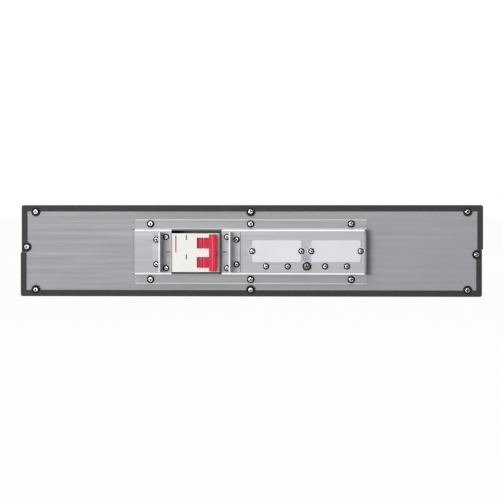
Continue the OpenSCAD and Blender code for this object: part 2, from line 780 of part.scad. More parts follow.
module connector(x) {
  body_l = port_l - 2 * port_play;
  body_h = port_h - 2 * port_play;
  foot_low = mid_z - foot_screw_drop - small_screw_d;
  well_l = contact_w + 4;
  well_h = 9.6;
  color([0.2, 0.2, 0.22]) difference() {
    union() {
      span([x - body_l / 2, hat_y, mid_z - body_h / 2],
        [x + body_l / 2, hat_in_y + connector_depth, mid_z + body_h / 2]);
      span([x - foot_screw_pitch / 2 - small_screw_d, hat_in_y, foot_low],
        [x + foot_screw_pitch / 2 + small_screw_d, hat_in_y + foot_t, mid_z]);
    }
    for (side = [-1, 1]) {
      // contact wells, open at the front, and the crimps' bores behind them
      span([x + side * contact_x - well_l / 2, hat_y - over, mid_z - well_h / 2],
        [x + side * contact_x + well_l / 2, hat_y + well_depth, mid_z + well_h / 2]);
      rod_y(x + side * contact_x, hat_y + well_depth - over, mid_z, lead_d + 2 * screw_play,
        connector_depth + over);
    }
    for (p = foot_screws_at)
      rod_y(p[0], hat_in_y - over, p[1], small_screw_d + 2 * thread_play, foot_t + 2 * over);
  }
}

module connector_left() {
  connector(connector_xs[0]);
}

module connector_right() {
  connector(connector_xs[1]);
}

module connector_screws() {
  color(steel) for (p = foot_screws_at)
    pan_screw(p[0], hat_y, p[1], small_screw_d, small_head_d, small_head_h,
      hat_t + foot_t + screw_tip);
}

module earth_washer() {
  teeth = 12;
  washer_t = 1;
  color(steel) difference() {
    rod_y(earth_at[0], hat_y - washer_t, earth_at[1], earth_washer_d, washer_t);
    rod_y(earth_at[0], hat_y - washer_t - over, earth_at[1], screw_d + 2 * screw_play,
      washer_t + 2 * over);
    for (k = [0 : teeth - 1])
      translate([earth_at[0], hat_y - washer_t / 2, earth_at[1]]) rotate([0, k * 360 / teeth, 0])
        translate([earth_washer_d / 2, 0, 0]) cube([1.2, washer_t + over, 1], center = true);
  }
}

module earth_screw() {
  color("gray") pan_screw(earth_at[0], hat_y - 1, earth_at[1], screw_d, earth_head_d,
    screw_head_h, 1 + hat_t + nut_h + screw_tip);
}

module earth_nut() {
  color(steel) clinch_nut(earth_at[0], hat_in_y, earth_at[1], screw_d);
}

// ---- batteries ----
floor_z = case_t + tray_t;              // under the battery blocks
tray_x0 = rail_w / 2 + 0.5;             // the trays' sides towards the centre rail
tray_front = front_y - front_space;
tray_rear = rear_y + rear_space;
tray_in_w = inner_x - tray_play - tray_x0 - 2 * tray_t;
tray_in_l = tray_front - tray_rear - 2 * tray_t;
block_h = (tray_in_w - block_gap) / 2 - tray_side;      // over its lid, which lies sideways
block_l = (tray_in_l - block_gap) / block_rows - block_gap;
column_xs = [tray_x0 + tray_t + tray_side,
  tray_x0 + tray_t + tray_side + block_h + block_gap];
lane_x = column_xs[1] - block_gap / 2;  // between a tray's two columns
block_ys = [for (k = [0 : block_rows - 1])
  tray_rear + tray_t + block_gap + k * (block_l + block_gap)];
tab_z = floor_z + block_w * 0.72;
lid_h = 8;                              // part of a block's height that its lid makes
block_top = floor_z + block_w;

module battery_tray() {
  tray_w = tray_in_w + 2 * tray_t;
  difference() {
    span([tray_x0, tray_rear, case_t], [tray_x0 + tray_w, tray_front, floor_z + tray_wall_h]);
    span([tray_x0 + tray_t, tray_rear + tray_t, floor_z],
      [tray_x0 + tray_w - tray_t, tray_front - tray_t, case_h]);
    // the side walls dip between the blocks' ends, where the links are reached
    for (y = block_ys) translate([tray_x0 - over, y + block_l / 2, floor_z + tray_wall_h])
      rotate([0, 90, 0]) cylinder(r = tray_wall_h * 0.55, h = tray_w + 2 * over);
    for (s = [-1, 1])
      rod_y(tray_x0 + tray_w / 2 + s * strap_screw_x, tray_front - tray_t - over, strap_z,
        small_screw_d + 2 * thread_play, tray_t + 2 * over);
  }
}

module battery_tray_left() {
  color(steel) mirror([1, 0, 0]) battery_tray();
}

module battery_tray_right() {
  color(steel) battery_tray();
}

// Both trays' copies of what lies in one of them
module both_trays() {
  for (side = [0, 1]) mirror([side, 0, 0]) children();
}

// Places a block's own frame in one column: its base towards the lane, its lid facing out
module in_column(column, y) {
  translate([lane_x, y, floor_z]) mirror([1 - column, 0, 0]) translate([block_gap / 2, 0, 0])
    children();
}

module at_blocks() {
  for (column = [0, 1], y = block_ys) in_column(column, y) children();
}

module battery_blocks() {
  color([0.25, 0.26, 0.28]) both_trays() at_blocks() cube([block_h - lid_h, block_l, block_w]);
}

// Lids, stepped in all round and sunk where the terminals stand
module battery_lids() {
  step = 0.8;
  well = 1.5;
  color([0.18, 0.18, 0.2]) both_trays() at_blocks() difference() {
    translate([block_h - lid_h, step, step]) cube([lid_h, block_l - 2 * step, block_w - 2 * step]);
    for (y = [tab_x, block_l - tab_x])
      translate([block_h - well, y - tab_w, tab_z - floor_z - tab_w])
        cube([well + over, 2 * tab_w, 2 * tab_w]);
  }
}

module battery_terminals() {
  well = 1.5;
  color("silver") both_trays() at_blocks() for (y = [tab_x, block_l - tab_x])
    translate([block_h - well, y - tab_w / 2, tab_z - floor_z - tab_t / 2])
      cube([tab_h + well, tab_w, tab_t]);
}

// A sleeve that fits over a terminal, in the block's frame
module receptacle(y) {
  wall = 0.8;
  play = 0.05;
  rise = 1;                             // above the lid
  difference() {
    translate([block_h + rise, y - tab_w / 2 - wall, tab_z - floor_z - tab_t / 2 - wall])
      cube([tab_h, tab_w + 2 * wall, tab_t + 2 * wall]);
    translate([block_h - over, y - tab_w / 2 - play, tab_z - floor_z - tab_t / 2 - play])
      cube([tab_h + over, tab_w + 2 * play, tab_t + 2 * play]);
  }
}

// The columns of a placement whose x, y and z axes and origin are given
function placed(x, y, z, at) = [for (k = [0 : 2]) [x[k], y[k], z[k], at[k]]];

// A round wire along stretches that run square to each other, with a bend at each corner
module wire(points, d) {
  bend = 1.2 * d;
  last = len(points) - 2;
  ways = [for (k = [0 : last])
    (points[k + 1] - points[k]) / norm(points[k + 1] - points[k])];
  for (k = [0 : last]) {
    side = abs(ways[k][2]) > 0.5 ? [1, 0, 0] : [0, 0, 1];
    start = points[k] + (k > 0 ? bend : 0) * ways[k];
    end = points[k + 1] - (k < last ? bend : 0) * ways[k];
    multmatrix(placed(side, cross(ways[k], side), ways[k], start))
      cylinder(d = d, h = norm(end - start));
    if (k < last)
      multmatrix(placed(-ways[k + 1], ways[k], cross(ways[k], ways[k + 1]),
        points[k + 1] + bend * (ways[k + 1] - ways[k])))
        rotate_extrude(angle = 90) translate([bend, 0]) circle(d = d);
  }
}

// Links from each block to the next in its column, and one across at the rear
module block_links() {
  link_y = 0.5;                         // how far a link's end reaches into its receptacle's side
  over_top = block_top + link_d / 2 + 0.3;
  tip_x = block_h + 1 + tab_h / 2;
  color("red") both_trays() {
    for (column = [0, 1], k = [0 : block_rows - 2])
      in_column(column, block_ys[k]) {
        far = block_l + block_gap + tab_x;
        receptacle(block_l - tab_x);
        receptacle(far);
        wire([[tip_x, block_l - tab_x + tab_w / 2 + link_y, tab_z - floor_z],
          [tip_x, far - tab_w / 2 - link_y, tab_z - floor_z]], link_d);
      }
    for (column = [0, 1]) in_column(column, block_ys[0]) receptacle(tab_x);
    wire([for (p = [[-1, tab_z + 1], [-1, over_top], [1, over_top], [1, tab_z + 1]])
      [lane_x + p[0] * (tip_x + block_gap / 2), block_ys[0] + tab_x, p[1]]], link_d);
  }
}

// Foam strips between the blocks and the top of the case
module hold_down_strips() {
  strip_w = 40;
  end_gap = 60;
  color("dimgray") both_trays() for (x = column_xs)
    span([x + block_h / 2 - strip_w / 2, tray_rear + end_gap, block_top],
      [x + block_h / 2 + strip_w / 2, tray_front - end_gap, case_h - case_t]);
}

// A channel between the trays, open at its top
module centre_rail() {
  rail_t = 1;
  color(steel) difference() {
    span([-rail_w / 2, tray_rear, case_t], [rail_w / 2, tray_front, case_t + tray_wall_h]);
    span([-rail_w / 2 + rail_t, tray_rear - over, case_t + rail_t],
      [rail_w / 2 - rail_t, tray_front + over, case_h]);
  }
}

// ---- leads ----
outer_tab_x = column_xs[1] + block_h + 1 + tab_h / 2;
inner_tab_x = column_xs[0] - 1 - tab_h / 2;
front_tab_y = block_ys[block_rows - 1] + block_l - tab_x;
over_links_z = block_top + link_d + 0.6 + lead_d / 2;   // leads pass over the rear links
lug_t = 1.2;                            // thickness of a ring lug
lug_r = 5;
lead_y = breaker_back_y + 0.2 + lead_d / 2;
contact_front = 4;                      // contacts' distance behind the raised face
well_depth = 20;
crimp_l = 6;

// A lug on one of the breaker's studs, its tongue towards one side
module ring_lug(x, z, side) {
  tongue_l = 11;
  difference() {
    union() {
      rod_y(x, breaker_back_y, z, 2 * lug_r, lug_t);
      translate([x + side * tongue_l / 2, breaker_back_y + lug_t / 2, z])
        cube([tongue_l, lug_t, lug_r * 1.4], center = true);
    }
    rod_y(x, breaker_back_y - over, z, stud_d + 2 * thread_play, lug_t + 2 * over);
  }
}

// From the outer front terminal over the blocks to one of the breaker's left studs,
// crossing behind the trays either at the same height or low down
module battery_lead(side, stud_z, cross_low) {
  lug_x = breaker_x - stud_x;
  cross_y = tray_rear - 0.5 - lead_d / 2;
  cross_z = cross_low ? floor_z + lead_d : over_links_z;
  wire(concat([[side * outer_tab_x, front_tab_y, tab_z + 1],
    [side * outer_tab_x, front_tab_y, over_links_z],
    [side * lane_x, front_tab_y, over_links_z],
    [side * lane_x, cross_y, over_links_z]],
    cross_low ? [[side * lane_x, cross_y, cross_z]] : [],
    [[lug_x - 14, cross_y, cross_z],
    [lug_x - 14, cross_y, stud_z],
    [lug_x - 14, lead_y, stud_z],
    [lug_x - 7, lead_y, stud_z]]), lead_d);
  ring_lug(lug_x, stud_z, -1);
  mirror([side < 0 ? 1 : 0, 0, 0])
    in_column(1, block_ys[block_rows - 1]) receptacle(block_l - tab_x);
}

module lead_positive() {
  color("red") battery_lead(-1, toggle_zs[0], false);
}

module lead_negative() {
  color("black") battery_lead(1, toggle_zs[1], true);
}

// Joins the two trays' inner front terminals over the rail
module tray_link() {
  rise = 8;
  color("black") {
    wire([for (p = [[-inner_tab_x, 1], [-inner_tab_x, rise], [inner_tab_x, rise], [inner_tab_x, 1]])
      [p[0], front_tab_y, tab_z + p[1]]], lead_d);
    both_trays() in_column(0, block_ys[block_rows - 1]) receptacle(block_l - tab_x);
  }
}

// From the breaker's right studs to the contacts of both connectors, with a branch to the nearer
module breaker_leads() {
  lug_x = breaker_x + stud_x;
  wire_end = hat_y + well_depth + crimp_l;
  branch_d = lead_d - 0.4;
  for (side = [-1, 1]) color(side < 0 ? "red" : "black") {
    stud_z = side < 0 ? toggle_zs[0] : toggle_zs[1];
    near_x = connector_xs[0] + side * contact_x;
    far_x = connector_xs[1] + side * contact_x;
    ring_lug(lug_x, stud_z, 1);
    wire([[lug_x + 7, lead_y, stud_z], [far_x, lead_y, stud_z], [far_x, lead_y, mid_z],
      [far_x, wire_end, mid_z]], lead_d);
    wire([[near_x, lead_y, stud_z], [near_x, lead_y, mid_z], [near_x, wire_end, mid_z]],
      branch_d);
  }
}

// ---- front ----
front_t = 1.2;                          // thickness of the front plate
plate_inset = 0.8;                      // of the front plate inside the case's outline
plate_y = front_y + front_t;            // outer face of the front plate
bezel_gap = 0.3;                        // between the bezel and the front plate
peg_inset = 40;                         // pegs' distance inside the case's sides
peg_drop = 17;                          // and below its top
peg_x = half_w - peg_inset;
peg_z = mid_z - peg_drop;
socket_wall = 2;
socket_flange = 1.2;
strap_z = floor_z + tray_wall_h / 2;
strap_screw_x = 45;
strap_t = 1.4;

module front_plate() {
  flange_d = 12;
  color(plate_grey) difference() {
    union() {
      span([-half_w + plate_inset, front_y, plate_inset],
        [half_w - plate_inset, plate_y, case_h - plate_inset]);
      // stiffening flanges along its top and bottom, inside the shells
      for (s = [0, 1]) translate([0, 0, s * case_h]) mirror([0, 0, s])
        span([-inner_x + lip_w + 3, front_y - flange_d, case_t + 0.3],
          [inner_x - lip_w - 3, front_y, case_t + 0.3 + front_t]);
    }
    for (side = [-1, 1], s = [-1, 1]) {
      rod_y(side * front_screw_x, front_y - over, mid_z + s * front_screw_z, seam_hole_d,
        front_t + 2 * over);
      translate([side * front_screw_x, plate_y, mid_z + s * front_screw_z])
        rotate([90, 0, 0]) cylinder(d1 = small_head_d, d2 = seam_hole_d, h = front_t);
      rod_y(side * peg_x, front_y - over, mid_z + s * peg_z, peg_d + 2 * peg_play
        + 2 * socket_wall, front_t + 2 * over);
    }
  }
}

module front_plate_screws() {
  color(steel) for (side = [-1, 1], s = [-1, 1])
    translate([side * front_screw_x, plate_y, mid_z + s * front_screw_z]) rotate([90, 0, 0]) {
      cylinder(d1 = small_head_d, d2 = seam_hole_d, h = front_t);
      cylinder(d = small_screw_d, h = front_t + case_t + collar_h + screw_tip);
    }
}

// Pull straps on the trays' front walls
module tray_straps() {
  strap_w = 20;
  rise = 11;
  foot = 14;
  reach = strap_screw_x + foot / 2;
  color("dimgray") both_trays()
    translate([tray_x0 + tray_t + tray_in_w / 2, tray_front, strap_z - strap_w / 2]) difference() {
      linear_extrude(strap_w) difference() {
        polygon([[-reach, 0], [reach, 0], [reach, strap_t], [reach - foot, strap_t],
          [reach - foot - rise, rise], [foot + rise - reach, rise], [foot - reach, strap_t],
          [-reach, strap_t]]);
        polygon([[reach - foot - strap_t, -over], [reach - foot - strap_t, 0],
          [reach - foot - rise - strap_t, rise - strap_t],
          [foot + rise - reach + strap_t, rise - strap_t],
          [foot - reach + strap_t, 0], [foot - reach + strap_t, -over]]);
      }
      for (s = [-1, 1]) rod_y(s * strap_screw_x, -over, strap_w / 2, small_screw_d
        + 2 * screw_play, strap_t + 2 * over);
    }
}

// The screws that hold the pull straps to the trays
module strap_screws() {
  color(steel) both_trays() for (s = [-1, 1])
    translate([tray_x0 + tray_t + tray_in_w / 2 + s * strap_screw_x, tray_front + strap_t, strap_z])
      rotate([0, 0, 180]) pan_screw(0, 0, 0, small_screw_d, small_head_d, small_head_h,
        strap_t + tray_t);
}

module bezel_sockets() {
  bore_d = peg_d + 2 * peg_play;
  color("black") for (side = [-1, 1], s = [-1, 1])
    difference() {
      union() {
        rod_y(side * peg_x, plate_y - peg_reach - 1, mid_z + s * peg_z,
          bore_d + 2 * socket_wall, peg_reach + 1);
        rod_y(side * peg_x, plate_y, mid_z + s * peg_z, bore_d + 4 * socket_wall, socket_flange);
      }
      rod_y(side * peg_x, plate_y - peg_reach - 1 - over, mid_z + s * peg_z, bore_d,
        peg_reach + socket_flange + 1 + 2 * over);
    }
}

bezel_half = half_w - bezel_inset;
bow_r = (pow(bezel_half, 2) + pow(bezel_bow, 2)) / (2 * bezel_bow);
bezel_back = plate_y + bezel_gap;
bezel_face = front_y + bezel_d;         // the bezel's foremost line, at its middle
grille_columns = 5;
grille_margin = 12;                     // plain face above and below the grille
grille_ends = 15;                       // and outside its columns
grille_rows = floor((case_h - 2 * bezel_inset - 2 * grille_margin) / grille_pitch);
grille_step = 2 * (bezel_half - grille_ends) / grille_columns;

// The bezel's plan, smaller all round by t: rounded ends and a bowed face
module bezel_plan(t) {
  r = bezel_r - t;
  depth = bezel_face - bezel_back;
  intersection() {
    translate([0, bezel_back - over]) union() {
      translate([-bezel_half + t, 0]) square([2 * (bezel_half - t), depth - bezel_r - bezel_bow + over]);
      translate([-bezel_half + bezel_r, 0]) square([2 * (bezel_half - bezel_r), depth + 2 * over]);
      for (s = [-1, 1]) translate([s * (bezel_half - bezel_r), depth - bezel_r - bezel_bow + over])
        circle(r = r);
    }
    translate([0, bezel_face - bow_r]) circle(r = bow_r - t, $fn = 1440);
    translate([-half_w, bezel_back - (t > 0 ? over : 0)]) square([case_w, 2 * bezel_d]);
  }
}

module grille_slot(x, z) {
  r = grille_slot_h / 2;
  for (s = [-1, 1])
    rod_y(x + s * (grille_slot_l / 2 - r), bezel_face - bezel_bow - 2 * bezel_t, z,
      grille_slot_h, 2 * bezel_d);
  span([x - grille_slot_l / 2 + r, bezel_face - bezel_bow - 2 * bezel_t, z - r],
    [x + grille_slot_l / 2 - r, bezel_face + bezel_d, z + r]);
}

module bezel() {
  low = bezel_inset;
  high = case_h - bezel_inset;
  peg_end = bezel_face - bezel_bow * pow(peg_x / bezel_half, 2) - bezel_t / 2;
  color([0.14, 0.14, 0.15]) {
    difference() {
      union() {
        difference() {
          translate([0, 0, low]) linear_extrude(high - low) bezel_plan(0);
          translate([0, 0, low + bezel_t]) linear_extrude(high - low - 2 * bezel_t)
            bezel_plan(bezel_t);
        }
        // ribs behind the face, between the grille's columns
        for (k = [1 : grille_columns - 1])
          translate([(k - grille_columns / 2) * grille_step, 0, mid_z]) intersection() {
            span([-bezel_t / 3, bezel_back + 10, -mid_z], [bezel_t / 3, bezel_face - bezel_bow, mid_z]);
            cube([bezel_t, 4 * case_w, high - low - bezel_t], center = true);
          }
        for (side = [-1, 1], s = [-1, 1])
          rod_y(side * peg_x, bezel_back + 6, mid_z + s * peg_z, peg_d + 4, peg_end - bezel_back - 6);
      }
      for (column = [0 : grille_columns - 1], row = [0 : grille_rows - 1])
        grille_slot((column - (grille_columns - 1) / 2) * grille_step,
          mid_z + (row - (grille_rows - 1) / 2) * grille_pitch);
      // finger openings in both ends
      for (side = [-1, 1])
        span([side * bezel_half - 2 * bezel_t, bezel_back + 4, mid_z - pull_h / 2],
          [side * bezel_half + 2 * bezel_t, bezel_back + 4 + pull_d, mid_z + pull_h / 2]);
    }
    for (side = [-1, 1], s = [-1, 1])
      rod_y(side * peg_x, plate_y - peg_reach, mid_z + s * peg_z, peg_d,
        peg_end - plate_y + peg_reach);
  }
}

module connector_contacts() {
  color("silver") for (x = connector_xs, side = [-1, 1]) {
    span([x + side * contact_x - contact_w / 2, hat_y + contact_front, mid_z - contact_t / 2],
      [x + side * contact_x + contact_w / 2, hat_y + well_depth, mid_z + contact_t / 2]);
    rod_y(x + side * contact_x, hat_y + well_depth, mid_z, lead_d, crimp_l);
  }
}

lower_shell();
upper_shell();
rear_panel();
perimeter_screws();
panel_nuts();
seam_screws();
seam_nuts();
connector_plate();
connector_plate_screws();
connector_plate_nuts();
breaker_pole_upper();
breaker_pole_lower();
breaker_rivets();
breaker_terminals();
breaker_screws();
toggle_upper();
toggle_lower();
handle_tie_bar();
toggle_pin();
guard_left();
guard_right();
guard_screws();
guard_nuts();
cover_left();
cover_right();
cover_screws();
cover_nuts();
connector_left();
connector_right();
connector_contacts();
connector_screws();
earth_screw();
earth_washer();
earth_nut();
battery_tray_left();
battery_tray_right();
battery_blocks();
battery_lids();
battery_terminals();
block_links();
hold_down_strips();
centre_rail();
lead_positive();
lead_negative();
tray_link();
breaker_leads();
front_plate();
front_plate_screws();
tray_straps();
strap_screws();
bezel_sockets();
bezel();
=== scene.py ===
import json
import math

import bmesh
import bpy
from mathutils import Matrix, Vector
from mathutils.bvhtree import BVHTree


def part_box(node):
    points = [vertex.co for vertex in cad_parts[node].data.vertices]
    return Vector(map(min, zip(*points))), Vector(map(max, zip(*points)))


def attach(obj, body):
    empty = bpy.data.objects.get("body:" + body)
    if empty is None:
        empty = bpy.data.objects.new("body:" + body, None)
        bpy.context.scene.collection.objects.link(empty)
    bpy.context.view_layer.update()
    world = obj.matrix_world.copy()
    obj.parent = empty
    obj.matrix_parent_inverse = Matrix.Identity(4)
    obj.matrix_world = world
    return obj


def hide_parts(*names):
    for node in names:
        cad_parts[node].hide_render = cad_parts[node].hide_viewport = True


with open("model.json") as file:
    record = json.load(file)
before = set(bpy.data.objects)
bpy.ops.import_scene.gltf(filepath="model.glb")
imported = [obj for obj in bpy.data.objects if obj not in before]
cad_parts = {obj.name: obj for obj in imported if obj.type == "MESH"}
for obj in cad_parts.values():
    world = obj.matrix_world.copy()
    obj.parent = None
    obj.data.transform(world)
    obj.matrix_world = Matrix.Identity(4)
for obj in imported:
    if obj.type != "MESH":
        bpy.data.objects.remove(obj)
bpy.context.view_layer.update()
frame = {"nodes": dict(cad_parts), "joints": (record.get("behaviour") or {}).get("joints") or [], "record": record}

# ---------------------------------------------------------------- image points
W = 503
H = 503
LONG = max(W, H)
POINTS = {
    "left": (19.9, None),
    "right": (482.0, None),
    "top": (None, 205.0),
    "bottom": (None, 296.5),
    "panel_screw_top_left": (35.4, 212.0),
    "panel_screw_bottom_right": (466.8, 290.0),
    "plate_screw_top_left": (151.0, 223.7),
    "plate_screw_bottom_right": (351.5, 278.5),
    "tie_bar": (213.1, 253.2),
    "cover_left": (276.9, 251.3),
    "cover_right": (335.9, 251.0),
    "earth_screw": (307.6, 266.3),
    "stripe": (175.8, 243.8),
    "bar_upper": (186.4, 237.5),
    "bar_lower": (186.4, 257.0),
    "dot_upper": (216.0, 250.5),
    "dot_lower": (216.0, 254.7),
    "earth_mark": (305.9, 258.3),
}

# ---------------------------------------------------------------- named sizes and places
MM = 0.001
NODES = frame["nodes"]
UP = Vector((0, 0, 1))
BACK = (0, 1, 0)                        # an axis, for faces to the rear or the front
SIDE = (1, 0, 0)                        # an axis, for faces to either side
HANDLE = next(j for j in frame["joints"] if j["name"] == "breaker_handle")
PIVOT = Vector(HANDLE["pos_m"])
TILT = math.radians(222)                # turn of the handle's own frame at rest
DRUM = 5.5 * MM                         # radius of the toggles' drums
GROOVE = math.radians(405)              # the groove's place round the drum, in the handle's frame
PLATE_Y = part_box("connector_plate")[0].y
CUT_Y = PLATE_Y + 2.2 * MM              # the plate's cut edges round the breaker
SHOULDER_Y = PLATE_Y + 1.2 * MM         # the breaker's shoulders behind the plate
GUARD_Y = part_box("guard_left")[0].y     # the guards' tips
FOOT_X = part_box("guard_right")[1].x     # the outer edge of the right guard's foot

# ---------------------------------------------------------------- camera
CAMERA_AT = Vector((0.1485, -2.8465, 0.08))
CAMERA_AIM = Vector((0.0007, -0.3465, 0.0426))
LENS = 189.5
SENSOR = 36.0
SHIFT = (0.0, 0.0)


def make_camera():
    data = bpy.data.cameras.new("camera")
    data.lens = LENS
    data.sensor_width = SENSOR
    data.sensor_fit = "AUTO"
    data.shift_x, data.shift_y = SHIFT
    data.clip_start = 0.01
    data.clip_end = 100.0
    camera = bpy.data.objects.new("camera", data)
    camera.location = CAMERA_AT
    camera.rotation_mode = "QUATERNION"
    camera.rotation_quaternion = (CAMERA_AIM - CAMERA_AT).to_track_quat("-Z", "Y")
    bpy.context.scene.collection.objects.link(camera)
    bpy.context.scene.camera = camera
    bpy.context.view_layer.update()
    return camera


camera = make_camera()


def pixel(point):
    """Where a place in the part's frame shows in the picture."""
    p = camera.matrix_world.inverted() @ Vector(point)
    focal = LONG * LENS / SENSOR
    return (W / 2 - SHIFT[0] * LONG - p.x / p.z * focal,
            H / 2 + SHIFT[1] * LONG + p.y / p.z * focal)


def ray(x, y):
    """The camera's place and the direction of its ray through a point of the picture."""
    way = Vector((x - W / 2 + SHIFT[0] * LONG, H / 2 - y + SHIFT[1] * LONG, -LONG * LENS / SENSOR))
    return CAMERA_AT, (camera.matrix_world.to_3x3() @ way).normalized()


def gather(*objects):
    """The objects' corners and faces as finished and placed, and the name of each face's object."""
    graph = bpy.context.evaluated_depsgraph_get()
    corners = []
    faces = []
    owners = []
    for o in objects:
        shown = o.evaluated_get(graph)
        mesh = shown.to_mesh()
        start = len(corners)
        corners += [shown.matrix_world @ v.co for v in mesh.vertices]
        faces += [[start + i for i in f.vertices] for f in mesh.polygons]
        owners += [o.name] * len(mesh.polygons)
        shown.to_mesh_clear()
    return corners, faces, owners


def place(name, *carriers):
    """Where the ray through a named point meets the carriers, and the surface's normal there.

    A ray that misses takes the place nearest to it.
    """
    tree = BVHTree.FromPolygons(*gather(*carriers)[:2])
    eye, way = ray(*POINTS[name])
    at, normal, _, _ = tree.ray_cast(eye, way)
    if at is not None:
        return at, normal
    depths = [(Vector(corner) - eye).dot(way) for c in carriers for corner in c.bound_box]
    near, far = min(depths), max(depths)
    tries = 200
    best = None
    for k in range(tries):
        hit, normal, _, _ = tree.find_nearest(eye + way * (near + (far - near) * k / (tries - 1)))
        off = (hit - eye) - way * (hit - eye).dot(way)
        if best is None or off.length < best[0]:
            best = (off.length, hit, normal)
    return best[1], best[2]


# ---------------------------------------------------------------- materials
def srgb(r, g, b):
    """A colour of a picture, 0 to 255, as a linear one."""
    def linear(c):
        c /= 255
        return c / 12.92 if c <= 0.04045 else ((c + 0.055) / 1.055) ** 2.4
    return (linear(r), linear(g), linear(b), 1.0)


PAINTED_HIGHLIGHT = srgb(255, 255, 255)              # white, a painted highlight on the plate's bends and the guards' tips


class Finish:
    """A procedural material, built up one feature at a time in the part's frame, in metres."""

    def __init__(self, name, metallic=0.0, ior=1.5):
        self.mat = bpy.data.materials.new(name)
        self.mat.use_nodes = True
        self.nodes = self.mat.node_tree.nodes
        self.links = self.mat.node_tree.links
        self.shader = self.nodes["Principled BSDF"]
        self.shader.inputs["Metallic"].default_value = metallic
        self.shader.inputs["IOR"].default_value = ior
        self.where = self.nodes.new("ShaderNodeTexCoord").outputs["Object"]
        self.height = None
        self.tone = None
        self.rolled = None

    def join(self, out, node, socket):
        self.links.new(out, node.inputs[socket])

    def noise(self, scale, stretch=(1, 1, 1), detail=3.0, rough=0.5):
        """Noise; scale is in cells a metre."""
        mapping = self.nodes.new("ShaderNodeMapping")
        mapping.inputs["Scale"].default_value = stretch
        self.join(self.where, mapping, "Vector")
        noise = self.nodes.new("ShaderNodeTexNoise")
        noise.inputs["Scale"].default_value = scale
        noise.inputs["Detail"].default_value = detail
        noise.inputs["Roughness"].default_value = rough
        self.join(mapping.outputs["Vector"], noise, "Vector")
        return noise.outputs["Fac"]

    def spread(self, fac, low, high, start=0.3, end=0.7):
        """Maps the span from start to end onto the span from low to high."""
        node = self.nodes.new("ShaderNodeMapRange")
        node.inputs["From Min"].default_value = start
        node.inputs["From Max"].default_value = end
        node.inputs["To Min"].default_value = low
        node.inputs["To Max"].default_value = high
        self.join(fac, node, "Value")
        return node.outputs["Result"]

    def mix(self, fac, a, b):
        """Mixes two colours, each a tuple or an output."""
        node = self.nodes.new("ShaderNodeMix")
        node.data_type = "RGBA"
        self.links.new(fac, node.inputs[0])
        for value, socket in ((a, node.inputs[6]), (b, node.inputs[7])):
            if isinstance(value, tuple):
                socket.default_value = value
            else:
                self.links.new(value, socket)
        return node.outputs[2]

    def times(self, a, b):
        node = self.nodes.new("ShaderNodeMath")
        node.operation = "MULTIPLY"
        self.links.new(a, node.inputs[0])
        self.links.new(b, node.inputs[1])
        return node.outputs[0]

    def facing(self, axis, start, end, smooth=True):
        """0 to 1 as the surface turns from side-on to facing along an axis."""
        node = self.nodes.new("ShaderNodeVectorMath")
        node.operation = "DOT_PRODUCT"
        node.inputs[1].default_value = axis
        geometry = self.nodes.new("ShaderNodeNewGeometry")
        self.join(geometry.outputs["Normal" if smooth else "True Normal"], node, 0)
        size = self.nodes.new("ShaderNodeMath")
        size.operation = "ABSOLUTE"
        self.join(node.outputs["Value"], size, 0)
        return self.spread(size.outputs[0], 0.0, 1.0, start, end)

    def between(self, axis, low, high, soft=0.1 * MM):
        """1 where a coordinate lies between two values."""
        parts = self.nodes.new("ShaderNodeSeparateXYZ")
        self.join(self.where, parts, 0)
        rise = self.spread(parts.outputs[axis], 0.0, 1.0, low - soft, low)
        fall = self.spread(parts.outputs[axis], 1.0, 0.0, high, high + soft)
        return self.times(rise, fall)

    def colour(self, out):
        self.join(out, self.shader, "Base Color")

    def rough(self, out):
        self.join(out, self.shader, "Roughness")

    def bump(self, fac, depth, strength=1.0):
        """Adds relief of that depth over what is there already."""
        node = self.nodes.new("ShaderNodeBump")
        node.inputs["Strength"].default_value = strength
        node.inputs["Distance"].default_value = depth
        self.join(fac, node, "Height")
        if self.height is not None:
            self.join(self.height, node, "Normal")
        self.height = node.outputs["Normal"]
        self.join(self.height, self.shader, "Normal")


def sheet_steel(name, light, dark, streak=(6, 6, 260)):
    """Bare rolled steel: fine streaks along the sheet, faint clouds, a fine relief of scratches."""
    f = Finish(name, metallic=0.05)
    f.rolled = f.noise(1.0, streak, detail=6.0, rough=0.65)
    clouds = f.noise(9.0, detail=2.0)
    base = f.mix(f.spread(f.rolled, 0, 1, 0.32, 0.68), dark, light)
    f.tone = f.mix(f.spread(clouds, 0, 0.35), base, dark)
    f.colour(f.tone)
    f.rough(f.spread(f.rolled, 0.54, 0.42))
    f.bump(f.noise(1.0, tuple(8 * s for s in streak), detail=3.0), 0.01 * MM, 0.35)
    return f


